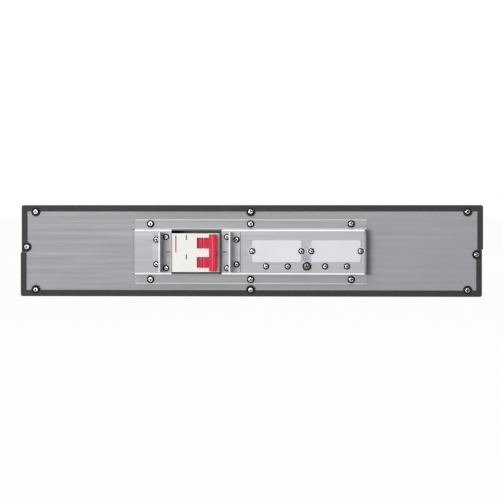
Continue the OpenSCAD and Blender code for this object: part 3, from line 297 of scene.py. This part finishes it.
def plate_sheet(name, light, dark):
    """The raised plate's steel: greyer flanges, painted highlights along the long bends and the rims, dark cut
    edges.
    """
    f = sheet_steel(name, light, dark)
    low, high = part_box("connector_plate")
    flange = f.between("Y", high.y - 2.2 * MM, high.y + 1 * MM, 1 * MM)
    streaks = f.mix(f.spread(f.rolled, 0, 1, 0.32, 0.68), srgb(162, 163, 166), srgb(178, 178, 182))
    f.tone = f.mix(flange, f.tone, streaks)
    front = f.between("Y", low.y - 1 * MM, CUT_Y + 1 * MM, 1 * MM)
    bent = f.times(f.facing(BACK, 0.08, 0.3), f.facing(UP, 0.2, 0.42))
    f.join(f.spread(bent, 0.05, 0.95, 0, 1), f.shader, "Metallic")
    # painted highlight: the bends by the face painted white, where they would catch the light
    f.tone = f.mix(f.times(bent, front), f.tone, PAINTED_HIGHLIGHT)
    # painted highlight: the bends by the flanges painted a lighter grey
    f.tone = f.mix(f.times(bent, flange), f.tone, srgb(225, 226, 228))
    rim = 0.9 * MM
    # painted highlight: a lighter band along the plate's top and bottom rims
    for edge in (low.z, high.z - rim):
        highlight_mask = f.times(f.between("Z", edge, edge + rim, 0.2 * MM), f.facing(BACK, 0.6, 0.9))
        f.tone = f.mix(highlight_mask, f.tone, srgb(214, 214, 216))
    round_cut = f.between("Y", CUT_Y - 0.2 * MM, CUT_Y + 0.2 * MM)
    cut = f.times(f.facing(BACK, 0.9, 0.99, False), round_cut)
    f.colour(f.mix(cut, f.tone, srgb(84, 86, 86)))
    return f


def guard_sheet(name, light, dark):
    """The guards' steel, with a painted highlight along their tips and a painted shadow line along the foot's
    outer edge.
    """
    f = sheet_steel(name, light, dark, streak=(6, 6, 90))
    highlight_mask = f.between("Y", GUARD_Y - 1 * MM, GUARD_Y + 0.5 * MM, 0.3 * MM)
    foot = f.between("X", FOOT_X - 0.5 * MM, FOOT_X, 0.3 * MM)
    # painted shadow: a dark line along the right guard's foot edge
    f.tone = f.mix(f.times(foot, f.facing(BACK, 0.6, 0.9)), f.tone, srgb(112, 112, 114))
    # painted highlight: the tips painted white, where the sheared edge would catch the light
    f.colour(f.mix(highlight_mask, f.tone, PAINTED_HIGHLIGHT))
    return f


def powder_coat(name, light, dark):
    """Black powder coat: a fine orange peel, with faint lighter clouds of dust."""
    f = Finish(name, ior=1.36)
    peel = f.noise(1400.0, detail=2.0)
    clouds = f.noise(14.0, detail=3.0)
    base = f.mix(f.spread(peel, 0, 1), dark, light)
    f.colour(f.mix(f.spread(clouds, 0, 0.3), base, light))
    f.rough(f.spread(peel, 0.62, 0.48))
    f.bump(peel, 0.06 * MM, 0.5)
    return f


def moulded(name, light, dark, grain=1800.0, depth=0.03 * MM, rough=(0.32, 0.44)):
    """Moulded plastic: spark-eroded grain and slight flow marks."""
    f = Finish(name)
    spark = f.noise(grain, detail=2.0)
    flow = f.noise(38.0, (1, 1, 0.45), detail=3.0)
    f.tone = f.mix(f.spread(flow, 0, 1), dark, light)
    f.colour(f.tone)
    f.rough(f.spread(spark, rough[1], rough[0]))
    f.bump(spark, depth, 0.4)
    return f


def breaker_shell(name, light, dark):
    """The breaker's white plastic, with painted shade on its recessed shoulders behind the plate."""
    f = moulded(name, light, dark)
    recessed = f.between("Y", SHOULDER_Y - 0.6 * MM, SHOULDER_Y + 0.6 * MM, 0.3 * MM)
    # painted shade: the shoulders seen through the gap round the nose painted dark
    f.colour(f.mix(f.times(recessed, f.facing(BACK, 0.8, 0.95)), f.tone, srgb(70, 72, 72)))
    return f


def grooved_red(name, light, dark):
    """The toggles' red plastic, with painted shade in the groove along the drum's crown."""
    f = moulded(name, light, dark)
    groove_x = PIVOT.x + DRUM * math.cos(TILT + GROOVE)
    line = f.between("X", groove_x - 0.35 * MM, groove_x + 0.35 * MM, 0.2 * MM)
    # painted shade: a dark red line down the groove
    f.colour(f.mix(f.times(line, f.facing(BACK, 0.5, 0.8)), f.tone, srgb(140, 18, 46)))
    return f


def plated(name, light, dark, axis=BACK, rough=(0.16, 0.28)):
    """Plated metal with turned marks: a painted highlight on crowns that face along the axis, a painted dark
    reflection on the flanks.
    """
    f = Finish(name, metallic=1.0)
    turned = f.noise(900.0, detail=3.0)
    crown = f.mix(f.spread(turned, 0, 0.25), light, dark)
    # painted reflection: light where the surface faces along the axis, dark on the flanks
    f.colour(f.mix(f.facing(axis, 0.93, 0.995), dark, crown))
    f.rough(f.spread(turned, rough[0], rough[1]))
    f.bump(turned, 0.01 * MM, 0.3)
    return f


def webbing(name, light, dark):
    """Woven strap: ribs across it and crossing threads."""
    f = Finish(name, ior=1.4)
    ribs = f.nodes.new("ShaderNodeTexWave")
    ribs.inputs["Scale"].default_value = 320.0
    ribs.inputs["Distortion"].default_value = 0.6
    f.join(f.where, ribs, "Vector")
    threads = f.noise(1600.0, (1, 0.3, 1), detail=2.0)
    base = f.mix(ribs.outputs["Fac"], dark, light)
    f.colour(f.mix(f.spread(threads, 0, 0.4), base, dark))
    f.rough(f.spread(threads, 0.7, 0.85))
    f.bump(ribs.outputs["Fac"], 0.2 * MM, 0.8)
    return f


def open_foam(name, light, dark):
    """Open-cell foam."""
    f = Finish(name, ior=1.3)
    cells = f.nodes.new("ShaderNodeTexVoronoi")
    cells.inputs["Scale"].default_value = 900.0
    f.join(f.where, cells, "Vector")
    f.colour(f.mix(f.spread(cells.outputs["Distance"], 0, 1, 0.1, 0.6), dark, light))
    f.rough(f.spread(cells.outputs["Distance"], 0.95, 0.8))
    f.bump(cells.outputs["Distance"], 0.3 * MM, 0.8)
    return f


def make_finishes(table):
    """A material for each row: its name, what makes it, its light and dark colours, its options."""
    return {name: make(name, srgb(*light), srgb(*dark), *options).mat
            for name, (make, light, dark, *options) in table.items()}


COARSE = (1200.0, 0.06 * MM)                    # grain and depth of the battery blocks' plastic
PRINT = (900.0, 0.01 * MM, (0.4, 0.5))          # grain, depth and roughness of printing ink
SCREW = ((166, 166, 170), (34, 34, 36))         # painted highlight of the plated screws' crowns, painted dark reflection of their flanks
SLOT_FINISHES = make_finishes({
    "case_paint": (powder_coat, (43, 43, 44), (31, 31, 32)),
    "panel_steel": (sheet_steel, (162, 162, 166), (153, 154, 158)),
    "plate_steel": (plate_sheet, (196, 196, 201), (178, 179, 183)),
    "screw_steel": (plated, *SCREW, BACK, (0.2, 0.32)),
    "nut_steel": (plated, (190, 190, 194), (120, 120, 124)),
    "earth_steel": (plated, (124, 120, 115), (38, 37, 36), BACK, (0.3, 0.45)),
    "breaker_plastic": (breaker_shell, (249, 249, 243), (243, 243, 237)),
    "toggle_red": (grooved_red, (236, 54, 84), (220, 44, 74)),
    "tie_bar_red": (moulded, (255, 60, 95), (244, 52, 86)),
    "contact_metal": (plated, (214, 200, 170), (150, 138, 110)),
    "cover_white": (moulded, (235, 237, 240), (229, 232, 236)),
    "connector_plastic": (moulded, (70, 70, 72), (52, 52, 54)),
    "tray_steel": (sheet_steel, (170, 172, 176), (140, 142, 147)),
    "battery_case": (moulded, (74, 75, 78), (60, 61, 64), *COARSE),
    "battery_lid": (moulded, (92, 93, 96), (78, 79, 83), *COARSE),
    "red_insulation": (moulded, (196, 40, 36), (176, 30, 28)),
    "black_insulation": (moulded, (44, 44, 46), (32, 32, 34)),
    "foam": (open_foam, (96, 96, 100), (50, 50, 54)),
    "strap_webbing": (webbing, (62, 62, 66), (34, 34, 37)),
    "bezel_plastic": (moulded, (58, 58, 60), (48, 48, 50), 1500.0, 0.07 * MM),
    "socket_rubber": (moulded, (40, 40, 41), (30, 30, 31), 1800.0, 0.03 * MM, (0.6, 0.75)),
})
OTHER_FINISHES = make_finishes({
    "guard_steel": (guard_sheet, (200, 200, 205), (182, 183, 187)),
    # a lighter copy of the guards' steel: painted light against the shade on the right guard's foot
    "guard_bright": (guard_sheet, (216, 216, 220), (202, 203, 207)),
    "washer_steel": (plated, (118, 117, 113), (70, 69, 66), BACK, (0.3, 0.45)),
    "side_steel": (plated, *SCREW, SIDE, (0.2, 0.32)),
    # painted shade: near-black for the screws' cross recesses
    "recess_dirt": (powder_coat, (34, 34, 35), (20, 20, 21)),
    "ink_black": (moulded, (46, 46, 46), (30, 30, 30), *PRINT),
    "ink_red": (moulded, (222, 84, 104), (206, 66, 88), *PRINT),
    "ink_grey": (moulded, (66, 66, 68), (48, 48, 50), *PRINT),
    "dot_red": (moulded, (64, 6, 16), (48, 4, 12), *PRINT),
})
OWN_FINISH = {
    "guard_left": "guard_steel",
    # the right guard takes the copy painted lighter against the shade on its foot
    "guard_right": "guard_bright",
    "earth_washer": "washer_steel",
}


def dress_nodes():
    """Every carried-over node gets the finish of its material slot, and a few one of their own."""
    for part in frame["record"]["subparts"]:
        mesh = NODES[part["node"]].data
        mesh.materials.clear()
        mesh.materials.append(SLOT_FINISHES[part["material_slot"]])
    for node, finish in OWN_FINISH.items():
        NODES[node].data.materials[0] = OTHER_FINISHES[finish]


dress_nodes()

# ---------------------------------------------------------------- edges
SOFT_EDGES = {
    "cover_left": 0.5, "cover_right": 0.5, "breaker_pole_upper": 0.4, "breaker_pole_lower": 0.4,
    "upper_shell": 0.3, "lower_shell": 0.3, "battery_blocks": 1.2, "battery_lids": 0.8,
    "connector_left": 0.4, "connector_right": 0.4,
}


def soften(piece, width):
    """Rounds a piece's edges by that many millimetres."""
    bevel = piece.modifiers.new("edges", "BEVEL")
    bevel.width = width * MM
    bevel.segments = 2
    bevel.limit_method = "ANGLE"
    bevel.angle_limit = math.radians(35)
    bevel.harden_normals = True
    return piece


def soften_nodes():
    """A CAD mesh has its faces apart, so they are welded before the edges are rounded."""
    for node, width in SOFT_EDGES.items():
        weld = NODES[node].modifiers.new("weld", "WELD")
        weld.merge_threshold = 0.001 * MM
        soften(NODES[node], width)


soften_nodes()


def creased(piece, angle=38):
    """Smooth shading with sharp edges kept."""
    bm = bmesh.new()
    bm.from_mesh(piece.data)
    for e in bm.edges:
        e.smooth = len(e.link_faces) == 2 and e.calc_face_angle(0) < math.radians(angle)
    bm.to_mesh(piece.data)
    bm.free()
    return piece


# ---------------------------------------------------------------- outlines and meshes
def polar(radius, angle):
    return Vector((radius * math.cos(angle), radius * math.sin(angle)))


def arc(radius, start, end, steps):
    return [polar(radius, start + (end - start) * k / steps) for k in range(steps + 1)]


def circle(radius, count):
    return [polar(radius, 2 * math.pi * k / count) for k in range(count)]


def cross(reach, half):
    """The outline of a cross recess."""
    outline = []
    for k in range(4):
        turn = Matrix.Rotation(k * math.pi / 2, 2)
        for p in ((reach, -half), (reach, half), (half, half)):
            outline.append(turn @ Vector(p))
    return outline


def fillet(points, radius):
    """A closed outline with its convex corners rounded."""
    steps = 4
    n = len(points)
    out = []
    for k in range(n):
        a, b, c = (Vector(points[(k + d) % n]) for d in (-1, 0, 1))
        into = (a - b).normalized()
        away = (c - b).normalized()
        half = into.angle(away) / 2
        cut = radius / math.tan(half)
        centre = b + (into + away).normalized() * radius / math.sin(half)
        start = b + into * cut - centre
        end = b + away * cut - centre
        turn = start.angle_signed(end)
        for i in range(steps + 1):
            out.append(centre + Matrix.Rotation(-turn * i / steps, 2) @ start)
    return out


def box_outline(wide, tall, radius):
    x = wide / 2
    y = tall / 2
    return fillet([(-x, -y), (x, -y), (x, y), (-x, y)], radius)


def lift(bm, outline, z):
    """New corners along an outline at a height."""
    return [bm.verts.new((p.x, p.y, z)) for p in outline]


def bridge(bm, a, b):
    n = len(a)
    for k in range(n):
        bm.faces.new((a[k], a[(k + 1) % n], b[(k + 1) % n], b[k]))


def closed(bm, loop):
    """The edges round a loop of corners, new ones where there are none."""
    pairs = zip(loop, loop[1:] + loop[:1])
    return [bm.edges.get(pair) or bm.edges.new(pair) for pair in pairs]


def add_piece(name, corners, faces, slot, body, material=None):
    """A new smooth piece from corners and faces in the part's frame."""
    mesh = bpy.data.meshes.new(name)
    mesh.from_pydata([tuple(c) for c in corners], [], faces)
    mesh.validate()
    mesh.materials.append(material or SLOT_FINISHES[slot])
    for p in mesh.polygons:
        p.use_smooth = True
    piece = bpy.data.objects.new(name, mesh)
    bpy.context.scene.collection.objects.link(piece)
    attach(piece, body)
    return piece


# ---------------------------------------------------------------- screws
ROUND = 32                              # corners round a screw
HEAD = (                                # the head's profile, as shares of its radius and height
    (0.97, 0.0), (1.0, 0.12), (1.0, 0.34), (0.955, 0.54), (0.86, 0.72), (0.72, 0.88), (0.58, 1.0),
)
RECESS_TOP = (0.53, 0.15)               # the cross's reach and half width, as shares of the radius
RECESS_LOW = (0.2, 0.05)
RECESS_AT = 0.1                         # the recess's bottom, as a share of the head's height
CHAMFER = 0.12                          # at a shank's end, as a share of its diameter
FIRST_TURN = 17                         # degrees, the turn of the first screw's cross
NEXT_TURN = 67                          # degrees, how much further each next one is turned


def solids(node):
    """The box of each separate solid of a CAD node."""
    bm = bmesh.new()
    bm.from_mesh(NODES[node].data)
    bmesh.ops.remove_doubles(bm, verts=bm.verts, dist=0.001 * MM)
    left = set(bm.verts)
    boxes = []
    while left:
        group = [left.pop()]
        for v in group:
            for e in v.link_edges:
                other = e.other_vert(v)
                if other in left:
                    left.remove(other)
                    group.append(other)
        boxes.append((Vector([min(v.co[k] for v in group) for k in range(3)]),
                      Vector([max(v.co[k] for v in group) for k in range(3)])))
    bm.free()
    return sorted(boxes, key=lambda b: tuple(round(c, 5) for c in (b[0] + b[1]) / 2))


def screw_shape(head_d, head_h, shank_d, length):
    """A cross-recessed pan-head screw: head from 0 up along z, shank below.

    Gives its corners, its faces, and for each face 1 in the recess and 0 elsewhere.
    """
    r = head_d / 2
    bm = bmesh.new()
    rings = [lift(bm, circle(r * wide, ROUND), head_h * high) for wide, high in HEAD]
    for a, b in zip(rings, rings[1:]):
        bridge(bm, a, b)
    top = lift(bm, cross(r * RECESS_TOP[0], r * RECESS_TOP[1]), head_h)
    low = lift(bm, cross(r * RECESS_LOW[0], r * RECESS_LOW[1]), head_h * RECESS_AT)
    bmesh.ops.triangle_fill(bm, use_beauty=True, edges=closed(bm, rings[-1]) + closed(bm, top))
    outside = set(bm.faces)
    bridge(bm, low, top)
    bm.faces.new(low)
    for f in set(bm.faces) - outside:
        f.material_index = 1
    shank_r = shank_d / 2
    chamfer = shank_d * CHAMFER
    shank = [lift(bm, circle(radius, ROUND), z) for radius, z in (
        (shank_r, 0.0), (shank_r, chamfer - length), (shank_r - chamfer, -length))]
    bridge(bm, shank[1], shank[0])
    bridge(bm, shank[2], shank[1])
    bm.faces.new(shank[2])
    bridge(bm, shank[0], rings[0])
    bmesh.ops.recalc_face_normals(bm, faces=bm.faces)
    bm.verts.index_update()
    shape = ([v.co.copy() for v in bm.verts], [[v.index for v in f.verts] for f in bm.faces],
             [f.material_index for f in bm.faces])
    bm.free()
    return shape


def copies(name, shape, places, slot, material):
    """One piece made of copies of a screw at each place, its recesses in painted shade."""
    corners = []
    faces = []
    for put in places:
        start = len(corners)
        corners += [put @ c for c in shape[0]]
        faces += [[start + i for i in f] for f in shape[1]]
    piece = add_piece(name, corners, faces, slot, "case", material)
    piece.data.materials.append(OTHER_FINISHES["recess_dirt"])
    piece.data.polygons.foreach_set("material_index", shape[2] * len(places))
    return piece


def screws(node, head_h, shank_d, along=1, slot="screw_steel", material=None):
    """Detailed screws in place of a CAD node's, each turned a little differently.

    Their heads face the rear along y (1), or outwards on both sides along x (0).
    """
    boxes = solids(node)
    frames = []
    for k, (low, high) in enumerate(boxes):
        seat = (low + high) / 2
        sign = 1 if along == 0 and seat.x > 0 else -1
        out = Vector((0, 0, 0))
        out[along] = sign
        face = high[along] if sign > 0 else low[along]
        seat[along] = face - sign * head_h
        upright = Matrix((UP.cross(out), UP, out)).transposed().to_4x4()
        turn = Matrix.Rotation(math.radians(FIRST_TURN + NEXT_TURN * k % 90), 4, "Z")
        frames.append(Matrix.Translation(seat) @ upright @ turn)
    low, high = boxes[0]
    length = high[along] - low[along] - head_h
    shape = screw_shape(high.z - low.z, head_h, shank_d, length)
    piece = copies(node + "_detail", shape, frames, slot, material)
    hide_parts(node)
    return creased(piece)


M3 = (2 * MM, 3 * MM)                   # the head's height and the shank's diameter
M4 = (2.4 * MM, 4 * MM)
screws("perimeter_screws", *M4)
for node in ("connector_plate_screws", "guard_screws", "breaker_screws", "cover_screws",
             "connector_screws"):
    screws(node, *M3)
screws("earth_screw", *M4, slot="earth_steel")
screws("seam_screws", *M3, along=0, material=OTHER_FINISHES["side_steel"])

# ---------------------------------------------------------------- breaker handle
PIN_HOLE = 1.55 * MM                    # radius of the hole for the pivot pin
TOGGLE_EDGE = 0.2                       # millimetres by which a toggle's edges are rounded
LEVER_RIB = (                           # down one side, as shares of the lever's tip and length
    (1.18, 0.62), (1.3, 0.7), (1.12, 0.78), (1.0, 1.0),
)


def handle_frame(z):
    """The handle's own frame at a height: lever along y, pivot on the origin."""
    return Matrix.Translation((PIVOT.x, PIVOT.y, z)) @ Matrix.Rotation(TILT, 4, "Z")


def slab(bm, outline, hole, low, high):
    """A flat plate between two heights with a hole through it."""
    loops = []
    for z in (low, high):
        outer = lift(bm, outline, z)
        inner = lift(bm, hole, z)
        bmesh.ops.triangle_fill(bm, use_beauty=True, edges=closed(bm, outer) + closed(bm, inner))
        loops.append((outer, inner))
    for side in (0, 1):
        bridge(bm, loops[0][side], loops[1][side])
    bmesh.ops.recalc_face_normals(bm, faces=bm.faces)


def toggle_outline():
    """A toggle from the side: its drum with a groove, and a tapered lever with a grip rib."""
    root = 2.0 * MM                     # half the lever's thickness at the drum
    tip = 1.6 * MM                      # and at its end
    end = 11.5 * MM                     # from the pivot to the lever's end
    groove_half = 0.6 * MM              # half the groove's width
    groove_deep = 0.8 * MM
    touch = math.asin(root / DRUM)
    half = math.asin(groove_half / DRUM)
    outline = arc(DRUM, math.pi / 2 + touch, GROOVE - half, 36)
    outline.append(polar(DRUM - groove_deep, GROOVE))
    outline += arc(DRUM, GROOVE + half, math.pi * 2.5 - touch, 4)
    side = [Vector((tip * wide, end * far)) for wide, far in LEVER_RIB]
    return outline + side + [Vector((-p.x, p.y)) for p in reversed(side)]


def make_toggle(node):
    low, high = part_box(node)
    width = high.z - low.z
    pin_hole = circle(PIN_HOLE, 24)
    bm = bmesh.new()
    slab(bm, toggle_outline(), pin_hole, -width / 2, width / 2)
    put = handle_frame((low.z + high.z) / 2)
    bm.verts.index_update()
    piece = add_piece(node + "_detail", [put @ v.co for v in bm.verts],
                      [[v.index for v in f.verts] for f in bm.faces], "toggle_red", "handle")
    bm.free()
    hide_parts(node)
    return soften(piece, TOGGLE_EDGE)


def make_tie_bar():
    """The bar over both toggles: rounded section, swelling outer face, ends drawn in a little."""
    low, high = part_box("handle_tie_bar")
    length = high.z - low.z
    wide = 6.4 * MM
    thick = 5.8 * MM
    corner = 1.5 * MM
    swell = 0.8 * MM                    # how far the outer face bows out at the middle
    swell_to = 0.9                      # the share of the half length where that ends
    draw_from = 0.975                   # the share of the half length where the ends draw in
    draw = 0.09                         # the share of the section by which they do
    at_end = 14.5 * MM                  # from the pivot to the middle of the section
    stations = 28
    crowd = 1.25                        # above 1 puts more stations near the ends
    put = handle_frame((low.z + high.z) / 2)
    corners = []
    faces = []
    for k in range(stations + 1):
        t = -1 + 2 * k / stations
        t = math.copysign(1 - (1 - abs(t)) ** crowd, t)
        out = swell * max(0.0, 1 - (t / swell_to) ** 2)
        shrink = 1 - draw * max(0.0, abs(t) - draw_from) / (1 - draw_from)
        w = wide / 2 * shrink
        h = thick / 2 * shrink
        section = fillet([(-w, -h), (w, -h), (w, h + out), (-w, h + out)], corner * shrink)
        corners += [put @ Vector((p.x, p.y + at_end, t * length / 2)) for p in section]
    n = len(section)
    for k in range(stations):
        for i in range(n):
            j = (i + 1) % n
            faces.append((k * n + i, k * n + j, (k + 1) * n + j, (k + 1) * n + i))
    faces.append(tuple(reversed(range(n))))
    faces.append(tuple(range(stations * n, (stations + 1) * n)))
    piece = add_piece("tie_bar_detail", corners, faces, "tie_bar_red", "handle")
    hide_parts("handle_tie_bar")
    return creased(piece, 50)


make_toggle("toggle_upper")
make_toggle("toggle_lower")
tie_bar = make_tie_bar()

# ---------------------------------------------------------------- printed marks
INK = 0.06 * MM                         # how far a mark stands out, and how deep it starts
STRIPE = (1.4 * MM, 16 * MM, 0.3 * MM)  # width, height and corner radius
BAR = (1.2 * MM, 4.6 * MM, 0.25 * MM)
DOT = 0.8 * MM                          # radius
POLES = (NODES["breaker_pole_upper"], NODES["breaker_pole_lower"])


def outline_plate(outline, put):
    """A flat mark with its rim rounded over: corners and faces."""
    n = len(outline)
    centre = sum(outline, Vector((0, 0))) / n
    corners = []
    for inset, z in ((0.0, -INK), (0.0, INK * 0.6), (0.3 * INK, INK)):
        for p in outline:
            q = p + (centre - p).normalized() * inset
            corners.append(put @ Vector((q.x, q.y, z)))
    faces = [(r * n + i, r * n + (i + 1) % n, (r + 1) * n + (i + 1) % n, (r + 1) * n + i)
             for r in (0, 1) for i in range(n)]
    faces.append(tuple(range(2 * n, 3 * n)))
    faces.append(tuple(reversed(range(n))))
    return corners, faces


def on_surface(point, *carriers):
    """A frame on the carriers at a named point: z out of the surface, y upright."""
    at, normal = place(point, *carriers)
    z = normal.normalized()
    if z.dot(at - CAMERA_AT) > 0:
        z = -z
    x = UP.cross(z).normalized()
    put = Matrix((x, z.cross(x), z)).transposed().to_4x4()
    put.translation = at
    return put


def mark(name, point, outline, carriers, body, slot, ink):
    corners, faces = outline_plate(outline, on_surface(point, *carriers))
    return creased(add_piece(name, corners, faces, slot, body, OTHER_FINISHES[ink]))


def make_earth_mark():
    """The earth sign: a ring round a stem and three bars."""
    put = on_surface("earth_mark", NODES["connector_plate"])
    line = 0.28 * MM                    # the strokes' width
    bars = (2.8 * MM, 1.8 * MM, 0.8 * MM)       # their lengths, from the top one down
    first_bar = -0.15 * MM              # the top one's height from the ring's centre
    apart = 0.6 * MM
    stem = 1.7 * MM
    ring = (2.6 * MM, 2.25 * MM)        # the outer and inner radius
    corners = []
    faces = []

    def add(shape):
        start = len(corners)
        corners.extend(shape[0])
        faces.extend([[start + i for i in f] for f in shape[1]])

    def stroke(wide, tall, y):
        add(outline_plate(box_outline(wide, tall, 0.08 * MM), put @ Matrix.Translation((0, y, 0))))

    for k, bar in enumerate(bars):
        stroke(bar, line, first_bar - apart * k)
    stroke(line, stem, stem / 2)
    n = 36
    rings = circle(ring[0], n) + circle(ring[1], n)
    rim = [put @ Vector((p.x, p.y, z)) for z in (-INK, INK) for p in rings]
    loops = []
    for i in range(n):
        j = (i + 1) % n
        loops += [(2 * n + i, 2 * n + j, 3 * n + j, 3 * n + i), (i, j, 2 * n + j, 2 * n + i),
                  (n + j, n + i, 3 * n + i, 3 * n + j), (j, i, n + i, n + j)]
    add((rim, loops))
    return creased(add_piece("earth_sign", corners, faces, "plate_steel", "case",
                             OTHER_FINISHES["ink_grey"]))


mark("nose_stripe", "stripe", box_outline(*STRIPE), POLES, "case", "breaker_plastic", "ink_red")
for point in ("bar_upper", "bar_lower"):
    mark("nose_" + point, point, box_outline(*BAR), POLES, "case", "breaker_plastic", "ink_black")
for point in ("dot_upper", "dot_lower"):
    mark("tie_bar_" + point, point, circle(DOT, 16), (tie_bar,), "handle", "tie_bar_red", "dot_red")
make_earth_mark()

# ---------------------------------------------------------------- stage and light
FLOOR = 30.0                            # half the floor's width
WHITE_SHARE = 0.96                      # of what shows of the floor; the rest is lit and shadowed
WORLD_LIGHT = 0.12
LAMPS = (                               # name, place, aim, size, power
    ("front", (-0.45, -3.1, 0.14), (0, -0.35, 0.04), (0.7, 0.26), 30),
    ("key", (-0.38, -1.95, 0.78), (0, -0.35, 0.04), (0.6, 0.5), 5),
    ("back", (0.4, 1.9, 1.6), (0, 0.2, 0.05), (1.6, 1.2), 16),
)


def white_rays(nodes, links):
    """1 for the rays that see the background white: the camera's, glossy and transmission ones."""
    paths = nodes.new("ShaderNodeLightPath")
    seen = paths.outputs["Is Camera Ray"]
    for other in ("Is Glossy Ray", "Is Transmission Ray"):
        either = nodes.new("ShaderNodeMath")
        either.operation = "MAXIMUM"
        links.new(seen, either.inputs[0])
        links.new(paths.outputs[other], either.inputs[1])
        seen = either.outputs[0]
    return seen


def make_floor():
    mesh = bpy.data.meshes.new("floor")
    corners = [(-FLOOR, -FLOOR, 0), (FLOOR, -FLOOR, 0), (FLOOR, FLOOR, 0), (-FLOOR, FLOOR, 0)]
    mesh.from_pydata(corners, [], [(0, 1, 2, 3)])
    floor = bpy.data.objects.new("floor", mesh)
    bpy.context.scene.collection.objects.link(floor)
    mat = bpy.data.materials.new("floor_pale")
    mat.use_nodes = True
    nodes = mat.node_tree.nodes
    links = mat.node_tree.links
    shader = nodes["Principled BSDF"]
    shader.inputs["Base Color"].default_value = (0.9, 0.9, 0.9, 1)
    shader.inputs["Roughness"].default_value = 0.7
    glow = nodes.new("ShaderNodeEmission")
    glow.inputs["Strength"].default_value = 1.0
    share = nodes.new("ShaderNodeMath")
    share.operation = "MULTIPLY"
    share.inputs[1].default_value = WHITE_SHARE
    links.new(white_rays(nodes, links), share.inputs[0])
    mixed = nodes.new("ShaderNodeMixShader")
    links.new(share.outputs[0], mixed.inputs[0])
    links.new(shader.outputs[0], mixed.inputs[1])
    links.new(glow.outputs[0], mixed.inputs[2])
    links.new(mixed.outputs[0], nodes["Material Output"].inputs["Surface"])
    mesh.materials.append(mat)
    return floor


def make_world():
    world = bpy.data.worlds.new("studio")
    bpy.context.scene.world = world
    world.use_nodes = True
    nodes = world.node_tree.nodes
    links = world.node_tree.links
    soft = nodes["Background"]
    soft.inputs["Color"].default_value = (1, 1, 1, 1)
    soft.inputs["Strength"].default_value = WORLD_LIGHT
    white = nodes.new("ShaderNodeBackground")
    white.inputs["Color"].default_value = (1, 1, 1, 1)
    white.inputs["Strength"].default_value = 1.0
    mixed = nodes.new("ShaderNodeMixShader")
    links.new(white_rays(nodes, links), mixed.inputs[0])
    links.new(soft.outputs[0], mixed.inputs[1])
    links.new(white.outputs[0], mixed.inputs[2])
    links.new(mixed.outputs[0], nodes["World Output"].inputs["Surface"])


def add_lamp(name, at, aim, size, power):
    data = bpy.data.lights.new(name, "AREA")
    data.shape = "RECTANGLE"
    data.size, data.size_y = size
    data.energy = power
    lamp = bpy.data.objects.new(name, data)
    lamp.location = at
    lamp.rotation_mode = "QUATERNION"
    lamp.rotation_quaternion = (Vector(aim) - Vector(at)).to_track_quat("-Z", "Y")
    bpy.context.scene.collection.objects.link(lamp)


bpy.context.scene.view_settings.view_transform = "Standard"
floor = make_floor()
make_world()
for lamp in LAMPS:
    add_lamp(*lamp)

# ---------------------------------------------------------------- named points looked for
SEARCH = 40                             # steps each way when a feature is looked for
NEAR = 0.3 * MM                         # a corner hidden by less than this still shows
FEATURES = {                            # each point's piece, and the pixels each way it may reach
    "panel_screw_top_left": ("perimeter_screws_detail", 6),
    "panel_screw_bottom_right": ("perimeter_screws_detail", 6),
    "plate_screw_top_left": ("connector_plate_screws_detail", 6),
    "plate_screw_bottom_right": ("connector_plate_screws_detail", 6),
    "tie_bar": ("tie_bar_detail", 24),
    "cover_left": ("cover_left", 28),
    "cover_right": ("cover_right", 28),
    "earth_screw": ("earth_screw_detail", 8),
    "stripe": ("nose_stripe", 12),
    "bar_upper": ("nose_bar_upper", 5),
    "bar_lower": ("nose_bar_lower", 5),
    "dot_upper": ("tie_bar_dot_upper", 3),
    "dot_lower": ("tie_bar_dot_lower", 3),
    "earth_mark": ("earth_sign", 5),
}


def write_sizes():
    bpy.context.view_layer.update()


def write_points():
    """Looks at each named point in the picture: the outline's outermost corners that show, and the faces the rays
    meet round each feature's point; nothing is kept.
    """
    shown = [o for o in bpy.context.scene.objects
             if o.type == "MESH" and o != floor and not o.hide_render]
    corners, faces, owners = gather(*shown)
    tree = BVHTree.FromPolygons(corners, faces)

    def seen(corner):
        way = corner - CAMERA_AT
        reach = tree.ray_cast(CAMERA_AT, way.normalized())[3]
        return reach is None or reach > way.length - NEAR

    spots = [(pixel(corner), corner) for corner in corners]
    for name, axis, sign in (("left", 0, 1), ("right", 0, -1), ("top", 1, 1), ("bottom", 1, -1)):
        order = sorted(spots, key=lambda spot: sign * spot[0][axis])
        edge = next((spot[axis] for spot, corner in order if seen(corner)), None)
    for name, (piece, reach) in FEATURES.items():
        x, y = POINTS[name]
        grid = [reach * k / SEARCH for k in range(-SEARCH, SEARCH + 1)]
        for dx in grid:
            for dy in grid:
                face = tree.ray_cast(*ray(x + dx, y + dy))[2]


write_sizes()
write_points()
